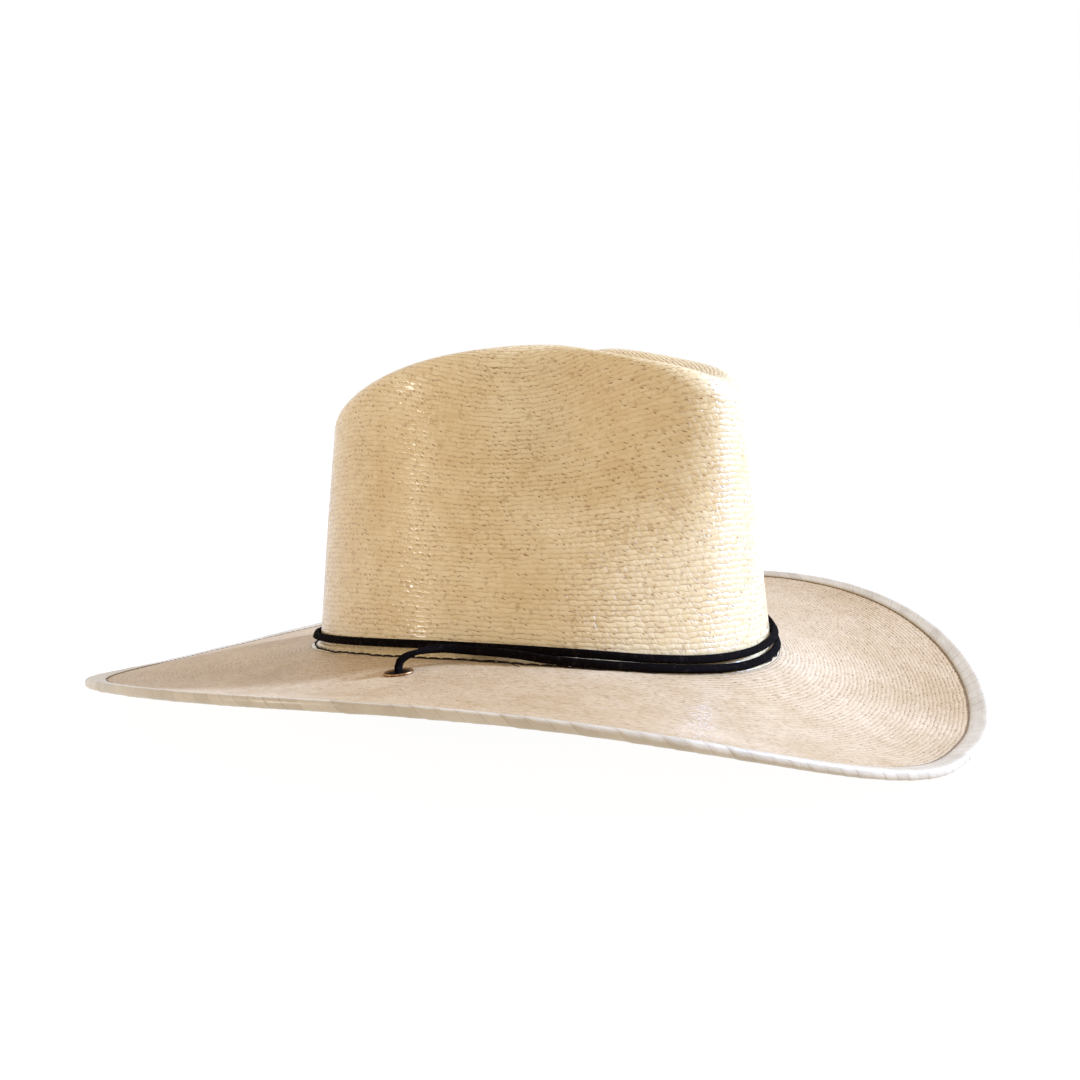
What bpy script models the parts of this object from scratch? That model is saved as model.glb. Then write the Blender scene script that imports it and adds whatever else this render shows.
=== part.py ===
"""Cowboy hat of woven palm leaf, with a rolled brim edge, sweatband, eyelets and a chin cord.

The real hat is woven as one flat disc and then pressed over a block; here its crown and its brim are
two pieces that meet at the corner between them. The model is made the same way: each ring-shaped piece is first turned in a flat pattern, where a point is (reach, angle, height):
reach runs along the weave from the crown's centre to the brim's edge, angle goes round from the
front, and height is measured from the weave's outer face. block() then presses the pattern into the
hat. Pieces that lie on each other share the pattern, so they keep their gaps on the finished shape.

Metres, +Z up, the front of the hat towards -Y, the wearer's left towards +X. The origin is on the
table that the hat stands on, under the middle of its outline.
"""

import math

import bmesh
import bpy
import numpy as np
from mathutils import Vector

# ---- Driving dimensions, in metres and radians ----
# A tuple of five is read round the hat: front, front corner, side, back corner, back.
SEGMENTS = 48
GAP = 0.0003

HEAD_HALF_LENGTH = 0.102
HEAD_HALF_WIDTH = 0.087
BAND_HEIGHT = 0.0317
BAND_RISE = (-0.002, 0.002, 0.005, -0.002, -0.007)
BAND_FILLET = 0.004

BRIM_WIDTH = (0.092, 0.101, 0.102, 0.099, 0.105)
SLOPE_AT_BAND = np.radians((-29, -10, -9, -19, -11))
SLOPE_MIDWAY = np.radians((-19, -4, 1, -4, -11))
SLOPE_AT_EDGE = np.radians((-4, 8, 12, 6, -17))

RIDGE_HEIGHT = (0.116, 0.124, 0.125, 0.112, 0.095)
RIDGE_INSET = (0.0187, 0.0445, 0.0457, 0.0251, 0.0093)
SHOULDER_RUN = 0.0085
SHOULDER_DROP = 0.0125
SHOULDER_SHARE = 0.14
WALL_BULGE = 0.001
NOTCH_DEPTH = 0.0033
NOTCH_ANGLE = math.radians(14)
CREASE_FLOOR_FRONT = 0.105
CREASE_FLOOR_BACK = 0.086
DENT_DEPTH = 0.011
DENT_ANGLE = math.radians(50)
DENT_SPREAD = math.radians(27)
DENT_HEIGHT = 0.088
DENT_TALL = 0.030

# The flat pattern's reach at the crown's ridge, at the band line and at the brim's edge.
RIDGE_REACH = 0.050
BAND_REACH = 0.185
EDGE_REACH = 0.285

PALM_THICKNESS = 0.0014
CROWN_END = BAND_REACH + BAND_FILLET
PALM_EDGE = EDGE_REACH - 0.0044
HEM_WIDTH = 0.0085
HEM_ROLL = 0.0022
HEM_WALL = 0.0008
WIRE_RADIUS = 0.0005
JOINER_LENGTH = 0.014
THREAD_RADIUS = 0.00025

SWEATBAND_WIDTH = 0.033
SWEATBAND_THICKNESS = 0.001
REED_RADIUS = 0.001

EYELET_REACH = BAND_REACH + 0.0245
EYELET_BORE = 0.003
EYELET_BARREL = 0.0036
EYELET_FLANGE = 0.00575
WASHER_BORE = EYELET_BARREL + GAP
WASHER_RADIUS = 0.0058
WASHER_THICKNESS = 0.0006

CORD_RADIUS = 0.0016
CORD_STAND_OFF = CORD_RADIUS + 0.00065
CORD_SPACING = 0.0135
CORD_END_HEIGHT = 0.0275
TAIL_LAY = CORD_RADIUS + 0.0001
RUN_HEIGHT = 0.00365
RUN_RIGHT_X = 0.038
RUN_LEFT_X = 0.043
RUN_START_Y = 0.042
RUN_RIGHT_END_Y = -0.098
RUN_LEFT_END_Y = -0.112
KNOT_RADIUS = 0.0030
KNOT_HALF_LENGTH = 0.0042
SLIDE_LENGTH = 0.014
SLIDE_WIDTH = 0.0125
SLIDE_THICKNESS = 0.0066
SLIDE_BORE = CORD_RADIUS + 0.00035
SLIDE_REST_Y = 0.028

MIDPLANE = -PALM_THICKNESS / 2
FLAT_PRESS = HEM_ROLL - MIDPLANE
FLAT_SOFTNESS = 0.0003
SNAP_TO_TABLE = 0.00025

# ---- The hat's form ----


def around(stations, angle):
    """Smooth value at each angle from the front, through five values set every 45 degrees."""
    count = len(stations) - 1
    step = np.arange(count + 1)
    weight = np.ones(count + 1)
    weight[[0, -1]] = 0.5
    cosines = np.cos(np.pi * np.outer(step, step) / count)
    series = 2 / count * weight * (cosines @ (weight * np.array(stations)))
    return np.cos(np.multiply.outer(angle, step)) @ series


def head_oval(angle, inset=0.0):
    """Plan of the crown, drawn in from the band line's oval by an inset."""
    x = (HEAD_HALF_WIDTH - inset) * np.sin(angle)
    y = -(HEAD_HALF_LENGTH - inset) * np.cos(angle)
    return x, y


def outward(angle):
    """Horizontal direction that faces straight away from the head oval."""
    x = np.sin(angle) / HEAD_HALF_WIDTH
    y = -np.cos(angle) / HEAD_HALF_LENGTH
    length = np.hypot(x, y)
    return x / length, y / length


def crown_wall(angle, climb):
    """Point of the crown's side, from the band line (climb 0) to the ridge of the top (climb 1)."""
    rise = around(BAND_RISE, angle)
    ridge = around(RIDGE_HEIGHT, angle) - NOTCH_DEPTH * np.exp(-(angle / NOTCH_ANGLE) ** 2)
    full_inset = around(RIDGE_INSET, angle)
    straight = np.clip(climb / (1 - SHOULDER_SHARE), 0, 1)
    turn = np.clip((climb - 1 + SHOULDER_SHARE) / SHOULDER_SHARE, 0, 1) * np.pi / 2
    z = rise + (ridge - SHOULDER_DROP - rise) * straight + SHOULDER_DROP * np.sin(turn)
    inset = (full_inset - SHOULDER_RUN) * straight + SHOULDER_RUN * (1 - np.cos(turn))
    inset = inset - WALL_BULGE * np.sin(np.pi * straight)
    dent_round = np.exp(-((np.abs(angle) - DENT_ANGLE) / DENT_SPREAD) ** 2)
    dent_up = np.exp(-((z - DENT_HEIGHT) / DENT_TALL) ** 2)
    x, y = head_oval(angle, inset + DENT_DEPTH * dent_round * dent_up)
    return x, y, z


def crown_top(angle, share):
    """Point of the top, from the middle of the crease (share 0) out to the ridge (share 1)."""
    x, y, ridge = crown_wall(angle, np.ones_like(angle))
    x = x * share
    y = y * share
    forward = 0.5 - y / (2 * HEAD_HALF_LENGTH)
    floor = CREASE_FLOOR_BACK + (CREASE_FLOOR_FRONT - CREASE_FLOOR_BACK) * forward
    ease = share * share * (3 - 2 * share)
    return x, y, floor + (ridge - floor) * ease


def brim(angle, share):
    """Point of the brim, from the band line (share 0) to the edge (share 1)."""
    at_band = around(SLOPE_AT_BAND, angle)
    midway = around(SLOPE_MIDWAY, angle)
    at_edge = around(SLOPE_AT_EDGE, angle)
    steps = 8
    run = np.zeros_like(angle)
    lift = np.zeros_like(angle)
    for step in range(steps):
        s = share * (step + 0.5) / steps
        slope = at_band * (1 - s) * (1 - 2 * s) + midway * 4 * s * (1 - s) + at_edge * s * (2 * s - 1)
        run = run + np.cos(slope) / steps
        lift = lift + np.sin(slope) / steps
    length = around(BRIM_WIDTH, angle) * share
    x, y = head_oval(angle)
    out_x, out_y = outward(angle)
    return x + out_x * length * run, y + out_y * length * run, around(BAND_RISE, angle) + length * lift


def press_on_table(z):
    """Height over the table, with the lowest parts of the brim pressed flat against it."""
    above = (z + BAND_HEIGHT - FLAT_PRESS) / FLAT_SOFTNESS
    return FLAT_PRESS + FLAT_SOFTNESS * np.logaddexp(0, above)


def weave_face(reach, angle):
    """Outer face of the weave: one point for each pair of reach and angle."""
    wall_climb = (BAND_REACH - reach) / (BAND_REACH - RIDGE_REACH)
    top = np.stack(crown_top(angle, np.clip(reach / RIDGE_REACH, 0, 1)))
    wall = np.stack(crown_wall(angle, np.clip(wall_climb, 0, 1)))
    brim_share = (reach - BAND_REACH) / (EDGE_REACH - BAND_REACH)
    flare = np.stack(brim(angle, np.maximum(brim_share, 0)))
    point = np.where(reach < RIDGE_REACH, top, np.where(reach < BAND_REACH, wall, flare))
    # A quadratic curve rounds the corner where the wall meets the brim.
    s = np.clip((reach - BAND_REACH + BAND_FILLET) / (2 * BAND_FILLET), 0, 1)
    fillet_climb = BAND_FILLET / (BAND_REACH - RIDGE_REACH) * np.ones_like(angle)
    fillet_share = BAND_FILLET / (EDGE_REACH - BAND_REACH) * np.ones_like(angle)
    before = np.stack(crown_wall(angle, fillet_climb))
    corner = np.stack(brim(angle, np.zeros_like(angle)))
    after = np.stack(brim(angle, fillet_share))
    curve = before * (1 - s) ** 2 + corner * 2 * s * (1 - s) + after * s ** 2
    point = np.where(np.abs(reach - BAND_REACH) < BAND_FILLET, curve, point)
    return np.stack((point[0], point[1] + SHIFT_Y, press_on_table(point[2])), axis=-1)


def weave_normal(reach, angle):
    """Direction that faces out of the weave."""
    nudge = 0.0005
    reach_in = np.maximum(reach - nudge, 0.0001)
    along = weave_face(reach + nudge, angle) - weave_face(reach_in, angle)
    swing = nudge / 0.1
    round_hat = weave_face(np.maximum(reach, 0.002), angle + swing)
    round_hat = round_hat - weave_face(np.maximum(reach, 0.002), angle - swing)
    normal = np.cross(along, round_hat)
    return normal / np.linalg.norm(normal, axis=-1, keepdims=True)


def block(reach, angle, height):
    """Press points of the flat pattern into the hat."""
    return weave_face(reach, angle) + weave_normal(reach, angle) * np.asarray(height)[..., None]


def outline_middle():
    """Shift that brings the middle of the brim's outline to the origin."""
    _, front, _ = brim(np.array([0.0]), np.array([1.0]))
    _, back, _ = brim(np.array([np.pi]), np.array([1.0]))
    return -(front[0] + back[0]) / 2


SHIFT_Y = outline_middle()

# ---- Tools for making objects ----


def clear_scene():
    for old in list(bpy.data.objects):
        bpy.data.objects.remove(old)


def new_collection(name):
    collection = bpy.data.collections.new(name)
    bpy.context.scene.collection.children.link(collection)
    return collection


def material(name, color, roughness, metallic=0.0):
    made = bpy.data.materials.new(name)
    made.use_nodes = True
    shader = made.node_tree.nodes["Principled BSDF"]
    shader.inputs["Base Color"].default_value = (*color, 1)
    shader.inputs["Roughness"].default_value = roughness
    shader.inputs["Metallic"].default_value = metallic
    return made


def add_object(name, mesh, look, collection):
    made = bpy.data.objects.new(name, mesh)
    made.data.materials.append(look)
    collection.objects.link(made)
    return made


def profile_object(name, profile, steps, collection):
    """A closed profile of (radius, height) points, turned about Z by a Screw modifier."""
    mesh = bpy.data.meshes.new(name)
    points = [(radius, 0, height) for radius, height in profile]
    edges = [(i, (i + 1) % len(points)) for i in range(len(points))]
    mesh.from_pydata(points, edges, [])
    made = bpy.data.objects.new(name, mesh)
    collection.objects.link(made)
    screw = made.modifiers.new("turn", "SCREW")
    screw.steps = steps
    screw.render_steps = steps
    screw.use_merge_vertices = True
    screw.merge_threshold = 0.00001
    screw.use_smooth_shade = True
    return made


def made_real(source):
    """The evaluated mesh of an object, welded; the source object is removed."""
    depsgraph = bpy.context.evaluated_depsgraph_get()
    mesh = bpy.data.meshes.new_from_object(source.evaluated_get(depsgraph))
    mesh.transform(source.matrix_world)
    bm = bmesh.new()
    bm.from_mesh(mesh)
    bmesh.ops.remove_doubles(bm, verts=bm.verts, dist=0.00001)
    bm.to_mesh(mesh)
    bm.free()
    bpy.data.objects.remove(source)
    return mesh


def blocked_ring(name, profile, look, collection, on_table=False):
    """A ring-shaped piece: its (reach, height) profile turned flat, then pressed into the hat."""
    mesh = made_real(profile_object(name, profile, SEGMENTS, collection))
    flat = np.array([vertex.co[:] for vertex in mesh.vertices])
    reach = np.hypot(flat[:, 0], flat[:, 1])
    angle = np.arctan2(flat[:, 0], -flat[:, 1])
    points = block(reach, angle, flat[:, 2])
    if on_table:
        points[:, 2] = np.where(points[:, 2] < SNAP_TO_TABLE, 0, points[:, 2])
    mesh.vertices.foreach_set("co", points.ravel())
    mesh.update()
    return add_object(name, mesh, look, collection)


def smooth_route(points, spacing, fine_ends):
    """Points along a Catmull-Rom curve through a route's own points, four times closer at its ends."""
    ends = [2 * points[0] - points[1], *points, 2 * points[-1] - points[-2]]
    dense = []
    for a, b, c, d in zip(ends, ends[1:], ends[2:], ends[3:]):
        for step in range(12):
            t = step / 12
            dense.append(0.5 * (2 * b + (c - a) * t + (2 * a - 5 * b + 4 * c - d) * t ** 2
                                + (3 * b - a - 3 * c + d) * t ** 3))
    dense.append(points[-1])
    travelled = [0.0]
    for a, b in zip(dense, dense[1:]):
        travelled.append(travelled[-1] + (b - a).length)
    total = travelled[-1]
    middle = np.linspace(fine_ends, total - fine_ends, round((total - 2 * fine_ends) / spacing) + 1)
    fine = np.linspace(0, fine_ends, round(4 * fine_ends / spacing) + 1)[:-1]
    spread = np.concatenate((fine, middle, total - fine[::-1]))
    axes = [np.interp(spread, travelled, [p[i] for p in dense]) for i in range(3)]
    return [Vector(p) for p in zip(*axes)]


def cord_object(name, points, look, collection):
    """A tube with filled ends along a polyline."""
    curve = bpy.data.curves.new(name, "CURVE")
    curve.dimensions = "3D"
    curve.bevel_depth = CORD_RADIUS
    curve.bevel_resolution = 2
    curve.use_fill_caps = True
    spline = curve.splines.new("POLY")
    spline.points.add(len(points) - 1)
    for target, point in zip(spline.points, points):
        target.co = (*point, 1)
    made = bpy.data.objects.new(name, curve)
    made.data.materials.append(look)
    collection.objects.link(made)
    return made


def cylinder_between(name, start, end, radius, collection):
    """A closed cylinder between two points."""
    mesh = bpy.data.meshes.new(name)
    bm = bmesh.new()
    bmesh.ops.create_cone(bm, cap_ends=True, segments=16, radius1=radius, radius2=radius,
                          depth=(end - start).length)
    bm.to_mesh(mesh)
    bm.free()
    made = bpy.data.objects.new(name, mesh)
    made.location = (start + end) / 2
    made.rotation_mode = "QUATERNION"
    made.rotation_quaternion = Vector((0, 0, 1)).rotation_difference(end - start)
    collection.objects.link(made)
    return made


def cut(target, cutter):
    """Take a cutter's shape out of an object."""
    cutter.hide_render = True
    cutter.display_type = "WIRE"
    boolean = target.modifiers.new(cutter.name, "BOOLEAN")
    boolean.operation = "DIFFERENCE"
    boolean.object = cutter


# ---- The pieces ----


def eyelet_seat(side):
    """Centre and upward direction of an eyelet on the brim's top; side is -1 right, +1 left."""
    angle = np.array([side * np.pi / 2])
    reach = np.array([EYELET_REACH])
    return Vector(weave_face(reach, angle)[0]), Vector(weave_normal(reach, angle)[0])


def crown_reaches():
    """Where the crown's rings of points lie, from the middle of its top down to the brim."""
    top = np.linspace(0, RIDGE_REACH, 6)
    wall_end = RIDGE_REACH + SHOULDER_SHARE * (BAND_REACH - RIDGE_REACH)
    shoulder = np.linspace(RIDGE_REACH, wall_end, 5)[1:]
    wall = np.linspace(wall_end, BAND_REACH - BAND_FILLET, 7)[1:]
    corner = np.linspace(BAND_REACH - BAND_FILLET, CROWN_END, 4)[1:]
    return np.concatenate((top, shoulder, wall, corner))


def brim_reaches():
    """Where the brim's rings of points lie, from the crown out to the hem's inside."""
    flare = np.linspace(CROWN_END + GAP, EDGE_REACH - HEM_WIDTH, 6)
    return np.concatenate((flare, [PALM_EDGE]))


def woven_sheet(name, reaches, look, collection):
    """A ring-shaped or round piece of weave, one thickness of palm leaf deep."""
    outside = [(reach, 0) for reach in reaches]
    inside = [(reach, -PALM_THICKNESS) for reach in reversed(reaches)]
    return blocked_ring(name, outside + inside, look, collection)


def make_palm(look, collection, cutters):
    """The crown, and the brim with a hole for each eyelet."""
    woven_sheet("palm_crown", crown_reaches(), look, collection)
    flare = woven_sheet("palm_brim", brim_reaches(), look, collection)
    for side, word in ((-1, "right"), (1, "left")):
        seat, up = eyelet_seat(side)
        hole = cylinder_between(f"eyelet_hole_{word}", seat - up * 0.006, seat + up * 0.006,
                                EYELET_BARREL + GAP, cutters)
        cut(flare, hole)


def make_hem(look, collection):
    """The brim's edge folded over its wire: a channel with a round roll at the outside."""
    leg_out = 0.0018
    leg_in = -MIDPLANE + GAP
    roll_in = HEM_ROLL - HEM_WALL
    half = HEM_ROLL * 0.5
    half_in = roll_in * 0.5
    section = [
        (HEM_WIDTH, leg_out), (0.0048, leg_out), (HEM_ROLL, HEM_ROLL), (0.0003, half),
        (0.0003, -half), (HEM_ROLL, -HEM_ROLL), (0.0048, -HEM_ROLL), (HEM_WIDTH, -HEM_ROLL),
        (HEM_WIDTH, -leg_in), (0.0048, -leg_in), (HEM_ROLL, -roll_in), (0.001, -half_in),
        (0.001, half_in), (HEM_ROLL, roll_in), (0.0048, leg_in), (HEM_WIDTH, leg_in),
    ]
    profile = [(EDGE_REACH - back, MIDPLANE + up) for back, up in section]
    blocked_ring("brim_hem", profile, look, collection, on_table=True)


def round_section(reach, height, radius, sides):
    """Clockwise ring of points, the section of a wire or thread in the flat pattern."""
    angles = [-2 * math.pi * i / sides for i in range(sides)]
    return [(reach + radius * math.cos(a), height + radius * math.sin(a)) for a in angles]


def make_wire(look, collection):
    blocked_ring("brim_wire", round_section(EDGE_REACH - HEM_ROLL, MIDPLANE, WIRE_RADIUS, 6),
                 look, collection)


def make_joiner(look, collection, cutters):
    """Sleeve that holds the wire's two ends together, at the back."""
    angles = np.array([np.pi, np.pi + 2 * np.pi / SEGMENTS])
    reach = np.full(2, EDGE_REACH - HEM_ROLL)
    start, end = [Vector(p) for p in block(reach, angles, np.full(2, MIDPLANE))]
    middle = (start + end) / 2
    half = (end - start).normalized() * JOINER_LENGTH / 2
    joiner = cylinder_between("wire_joiner", middle - half, middle + half, WIRE_RADIUS + 0.00055,
                              collection)
    joiner.data.materials.append(look)
    bore = cylinder_between("joiner_bore", middle - half * 1.2, middle + half * 1.2,
                            WIRE_RADIUS + 0.00025, cutters)
    cut(joiner, bore)


def make_threads(look, collection):
    """The stitch lines: round the crown's base, and along the hem's inner lip."""
    height = GAP + THREAD_RADIUS
    band_line = round_section(BAND_REACH + 0.0045, height, THREAD_RADIUS, 4)
    blocked_ring("sweatband_thread", band_line, look, collection)
    hem_line = round_section(EDGE_REACH - HEM_WIDTH - 0.0006, height, THREAD_RADIUS, 4)
    blocked_ring("hem_thread", hem_line, look, collection)


def make_sweatband(look, reed_look, collection):
    """Band inside the head opening, with a reed along its lower edge."""
    outer = -(PALM_THICKNESS + 0.0005)
    inner = outer - SWEATBAND_THICKNESS
    low = BAND_REACH - 0.002
    reaches = np.linspace(low - SWEATBAND_WIDTH, low, 4)
    facing_wall = [(reach, outer) for reach in reaches]
    facing_head = [(reach, inner) for reach in reversed(reaches)]
    blocked_ring("sweatband", facing_wall + facing_head, look, collection)
    reed_height = outer - SWEATBAND_THICKNESS / 2
    blocked_ring("sweatband_reed", round_section(BAND_REACH + 0.0006, reed_height, REED_RADIUS, 6),
                 reed_look, collection)


def make_eyelets(look, collection):
    """A flanged barrel through each side of the brim, rolled over a washer underneath."""
    washer_top = -(PALM_THICKNESS + GAP)
    washer_bottom = washer_top - WASHER_THICKNESS
    roll_top = washer_bottom - GAP
    eyelet = [
        (EYELET_BORE, 0.0009), (0.0036, 0.0013), (0.0046, 0.0013), (0.0055, 0.0009),
        (EYELET_FLANGE, 0.0005), (0.0055, GAP), (EYELET_BARREL, GAP), (EYELET_BARREL, roll_top),
        (0.0047, roll_top), (0.0048, roll_top - 0.0003), (0.0042, roll_top - 0.0006),
        (0.0034, roll_top - 0.0006), (EYELET_BORE, roll_top - 0.0003),
    ]
    washer = [
        (WASHER_BORE, washer_top), (WASHER_RADIUS, washer_top),
        (WASHER_RADIUS, washer_bottom), (WASHER_BORE, washer_bottom),
    ]
    for side, word in ((-1, "right"), (1, "left")):
        seat, up = eyelet_seat(side)
        turn = Vector((0, 0, 1)).rotation_difference(up)
        for name, profile in ((f"eyelet_{word}", eyelet), (f"eyelet_washer_{word}", washer)):
            mesh = made_real(profile_object(name, profile, 20, collection))
            made = add_object(name, mesh, look, collection)
            made.location = seat
            made.rotation_mode = "QUATERNION"
            made.rotation_quaternion = turn


def beside_crown(degrees, height, stand_off):
    """Point next to the crown's wall at a height over the band line."""
    angle = np.array([math.radians(degrees)])
    tall = around(RIDGE_HEIGHT, angle) - SHOULDER_DROP - around(BAND_RISE, angle)
    x, y, z = crown_wall(angle, height / tall * (1 - SHOULDER_SHARE))
    out_x, out_y = outward(angle)
    return Vector((x[0] + out_x[0] * stand_off, y[0] + out_y[0] * stand_off + SHIFT_Y,
                   z[0] + BAND_HEIGHT))


def eyelet_lead(side):
    """The lace through one eyelet, from under the brim up and over towards the crown's front."""
    seat, _ = eyelet_seat(side)
    y = seat.y
    return [
        Vector((seat.x, y, CORD_END_HEIGHT)),
        Vector((seat.x, y, seat.z)),
        Vector((seat.x - side * 0.0004, y - 0.0004, seat.z + 0.0045)),
        Vector((seat.x - side * 0.0050, y - 0.0032, seat.z + 0.0070)),
        Vector((seat.x - side * 0.0145, y - 0.0085, seat.z + 0.0078)),
    ]


def lace_round_crown():
    """The lace's way round the crown: 1.4 turns, low on its first pass and above it on the second.

    Each row is the angle from the front in degrees, the height over the band line and the
    distance out from the wall. It starts at the right eyelet and passes the front first.
    """
    hug = CORD_STAND_OFF
    low = CORD_STAND_OFF + 0.0007
    way = [
        (-80, 0.0036, hug + 0.0036), (-71, 0.0034, hug + 0.0033), (-62, 0.0021, hug + 0.0025),
        (-48, 0.0014, 0.0037), (-32, 0.0009, 0.0037), (-16, 0.0006, 0.0035), (0, 0.0014, 0.0030),
        (16, 0.0024, low), (32, 0.0023, low), (48, 0.0023, low), (64, 0.0023, low), (80, 0.0024, low),
        (96, 0.0026, low), (112, 0.0029, hug + 0.0005), (128, 0.0032, hug + 0.0003), (144, 0.0034, hug),
        (160, 0.0036, hug), (176, 0.0037, hug), (192, 0.0038, hug), (208, 0.0040, hug), (224, 0.0040, hug),
        (240, 0.0038, hug), (256, 0.0038, hug), (272, 0.0042, hug), (288, 0.0046, hug), (304, 0.0048, hug),
        (320, 0.0043, hug), (336, 0.0042, hug), (352, 0.0055, hug), (368, 0.0070, hug),
        (384, 0.0078, hug), (400, 0.0076, hug), (414, 0.0070, hug), (428, 0.0068, hug + 0.0006),
        (440, 0.0062, hug + 0.0042),
    ]
    return [beside_crown(*row) for row in way]


def tail_right_route():
    """Right tail: down out of its eyelet, in under the crown, and back along the straight run."""
    seat, _ = eyelet_seat(-1)
    start = CORD_END_HEIGHT - GAP
    y = seat.y
    return [
        Vector((seat.x, y, start)), Vector((seat.x, y, start - 0.0030)),
        Vector((seat.x + 0.0030, y + 0.0004, start - 0.0062)), Vector((-0.100, y + 0.0020, 0.0192)),
        Vector((-0.084, y + 0.0070, 0.0160)), Vector((-0.066, y + 0.0150, 0.0118)),
        Vector((-0.048, y + 0.0240, 0.0075)), Vector((-0.030, y + 0.0330, 0.0040)),
        Vector((-0.012, y + 0.0430, TAIL_LAY + 0.0002)), Vector((0.004, y + 0.0520, TAIL_LAY)),
        Vector((0.019, y + 0.0560, TAIL_LAY)), Vector((0.031, y + 0.0510, TAIL_LAY + 0.0004)),
        Vector((0.0372, RUN_START_Y + 0.0010, RUN_HEIGHT - 0.0006)),
    ]


def tail_left_route():
    """Left tail: down out of its eyelet to the table, and back beside the right one."""
    seat, _ = eyelet_seat(1)
    start = CORD_END_HEIGHT - GAP
    y = seat.y
    return [
        Vector((seat.x, y, start)), Vector((seat.x, y, start - 0.0040)),
        Vector((seat.x - 0.0025, y + 0.0008, start - 0.0095)), Vector((0.1030, y + 0.0040, 0.0120)),
        Vector((0.0950, y + 0.0110, 0.0068)), Vector((0.0850, y + 0.0220, 0.0030)),
        Vector((0.0750, y + 0.0340, TAIL_LAY)), Vector((0.0640, y + 0.0440, TAIL_LAY)),
        Vector((0.0530, y + 0.0470, TAIL_LAY + 0.0004)),
        Vector((0.0445, RUN_START_Y + 0.0010, RUN_HEIGHT - 0.0006)),
    ]


def with_run(route, x, end_y):
    """A tail's curved part, then its straight run through the slide."""
    curved = smooth_route([*route, Vector((x, RUN_START_Y - 0.007, RUN_HEIGHT))], CORD_SPACING / 2, 0.012)
    steps = 6
    run = np.linspace(RUN_START_Y - 0.007, end_y, steps + 1)[1:]
    return curved + [Vector((x, y, RUN_HEIGHT)) for y in run]


def make_chin_cord(look, collection):
    """The lace: its way round the crown, and the two tails under the hat."""
    start = eyelet_lead(-1)
    finish = eyelet_lead(1)
    finish.reverse()
    points = smooth_route([*start, *lace_round_crown(), *finish], CORD_SPACING, 0.030)
    cord_object("chin_cord_wrap", points, look, collection)
    for word, route, x, end_y in (("right", tail_right_route(), RUN_RIGHT_X, RUN_RIGHT_END_Y),
                                  ("left", tail_left_route(), RUN_LEFT_X, RUN_LEFT_END_Y)):
        cord_object(f"chin_cord_tail_{word}", with_run(route, x, end_y), look, collection)
        mesh = bpy.data.meshes.new(f"chin_cord_knot_{word}")
        bm = bmesh.new()
        bmesh.ops.create_uvsphere(bm, u_segments=12, v_segments=8, radius=KNOT_RADIUS)
        bmesh.ops.scale(bm, vec=(1, 1, KNOT_HALF_LENGTH / KNOT_RADIUS), verts=bm.verts)
        bm.to_mesh(mesh)
        bm.free()
        knot = add_object(mesh.name, mesh, look, collection)
        knot.location = (x, end_y - GAP - KNOT_HALF_LENGTH, RUN_HEIGHT)
        knot.rotation_euler = (math.pi / 2, 0, 0)


def make_slide(look, collection, cutters):
    """Bead that slides along both tails; its origin is on the slide's line."""
    mesh = bpy.data.meshes.new("cord_slide")
    bm = bmesh.new()
    bmesh.ops.create_cube(bm, size=1)
    bmesh.ops.scale(bm, vec=(SLIDE_WIDTH, SLIDE_LENGTH, SLIDE_THICKNESS), verts=bm.verts)
    bm.to_mesh(mesh)
    bm.free()
    slide = add_object("cord_slide", mesh, look, collection)
    middle_x = (RUN_RIGHT_X + RUN_LEFT_X) / 2
    slide.location = (middle_x, SLIDE_REST_Y, RUN_HEIGHT)
    bevel = slide.modifiers.new("round_edges", "BEVEL")
    bevel.width = 0.0012
    bevel.segments = 2
    for word, x in (("right", RUN_RIGHT_X), ("left", RUN_LEFT_X)):
        reach = Vector((0, SLIDE_LENGTH, 0))
        centre = Vector((x, SLIDE_REST_Y, RUN_HEIGHT))
        cut(slide, cylinder_between(f"slide_bore_{word}", centre - reach, centre + reach, SLIDE_BORE, cutters))


def main():
    clear_scene()
    hat = new_collection("cowboy_hat")
    cutters = new_collection("cutters")
    palm = material("palm_leaf", (0.80, 0.69, 0.48), 0.42)
    hem = material("palm_hem", (0.84, 0.76, 0.60), 0.42)
    black_thread = material("black_thread", (0.03, 0.025, 0.025), 0.8)
    lace = material("black_lace", (0.02, 0.017, 0.017), 0.7)
    brass = material("brass", (0.70, 0.48, 0.22), 0.3, 1.0)
    steel = material("steel_wire", (0.55, 0.55, 0.56), 0.35, 1.0)
    leather = material("sweatband_leather", (0.42, 0.27, 0.15), 0.6)
    reed = material("plastic_reed", (0.75, 0.72, 0.65), 0.5)
    wood = material("turned_wood", (0.20, 0.10, 0.05), 0.45)
    make_palm(palm, hat, cutters)
    make_hem(hem, hat)
    make_wire(steel, hat)
    make_joiner(steel, hat, cutters)
    make_threads(black_thread, hat)
    make_sweatband(leather, reed, hat)
    make_eyelets(brass, hat)
    make_chin_cord(lace, hat)
    make_slide(wood, hat, cutters)
    for made in hat.objects:
        if made.type == "MESH" and made.name != "cord_slide":
            made.data.shade_smooth()


main()
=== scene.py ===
"""Looks for the palm-leaf cowboy hat: woven surfaces, hem, stitching, lace, fittings and studio.

The weave follows the same flat pattern as the CAD part. A point of the pattern is (reach, angle,
height): reach runs along the weave from the crown's centre to the brim's edge, angle goes round
from the front, and height is measured from the weave's outer face. Metres and radians throughout.
"""

import math

import bmesh
import bpy
import numpy as np
from mathutils import Matrix, Vector


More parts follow.
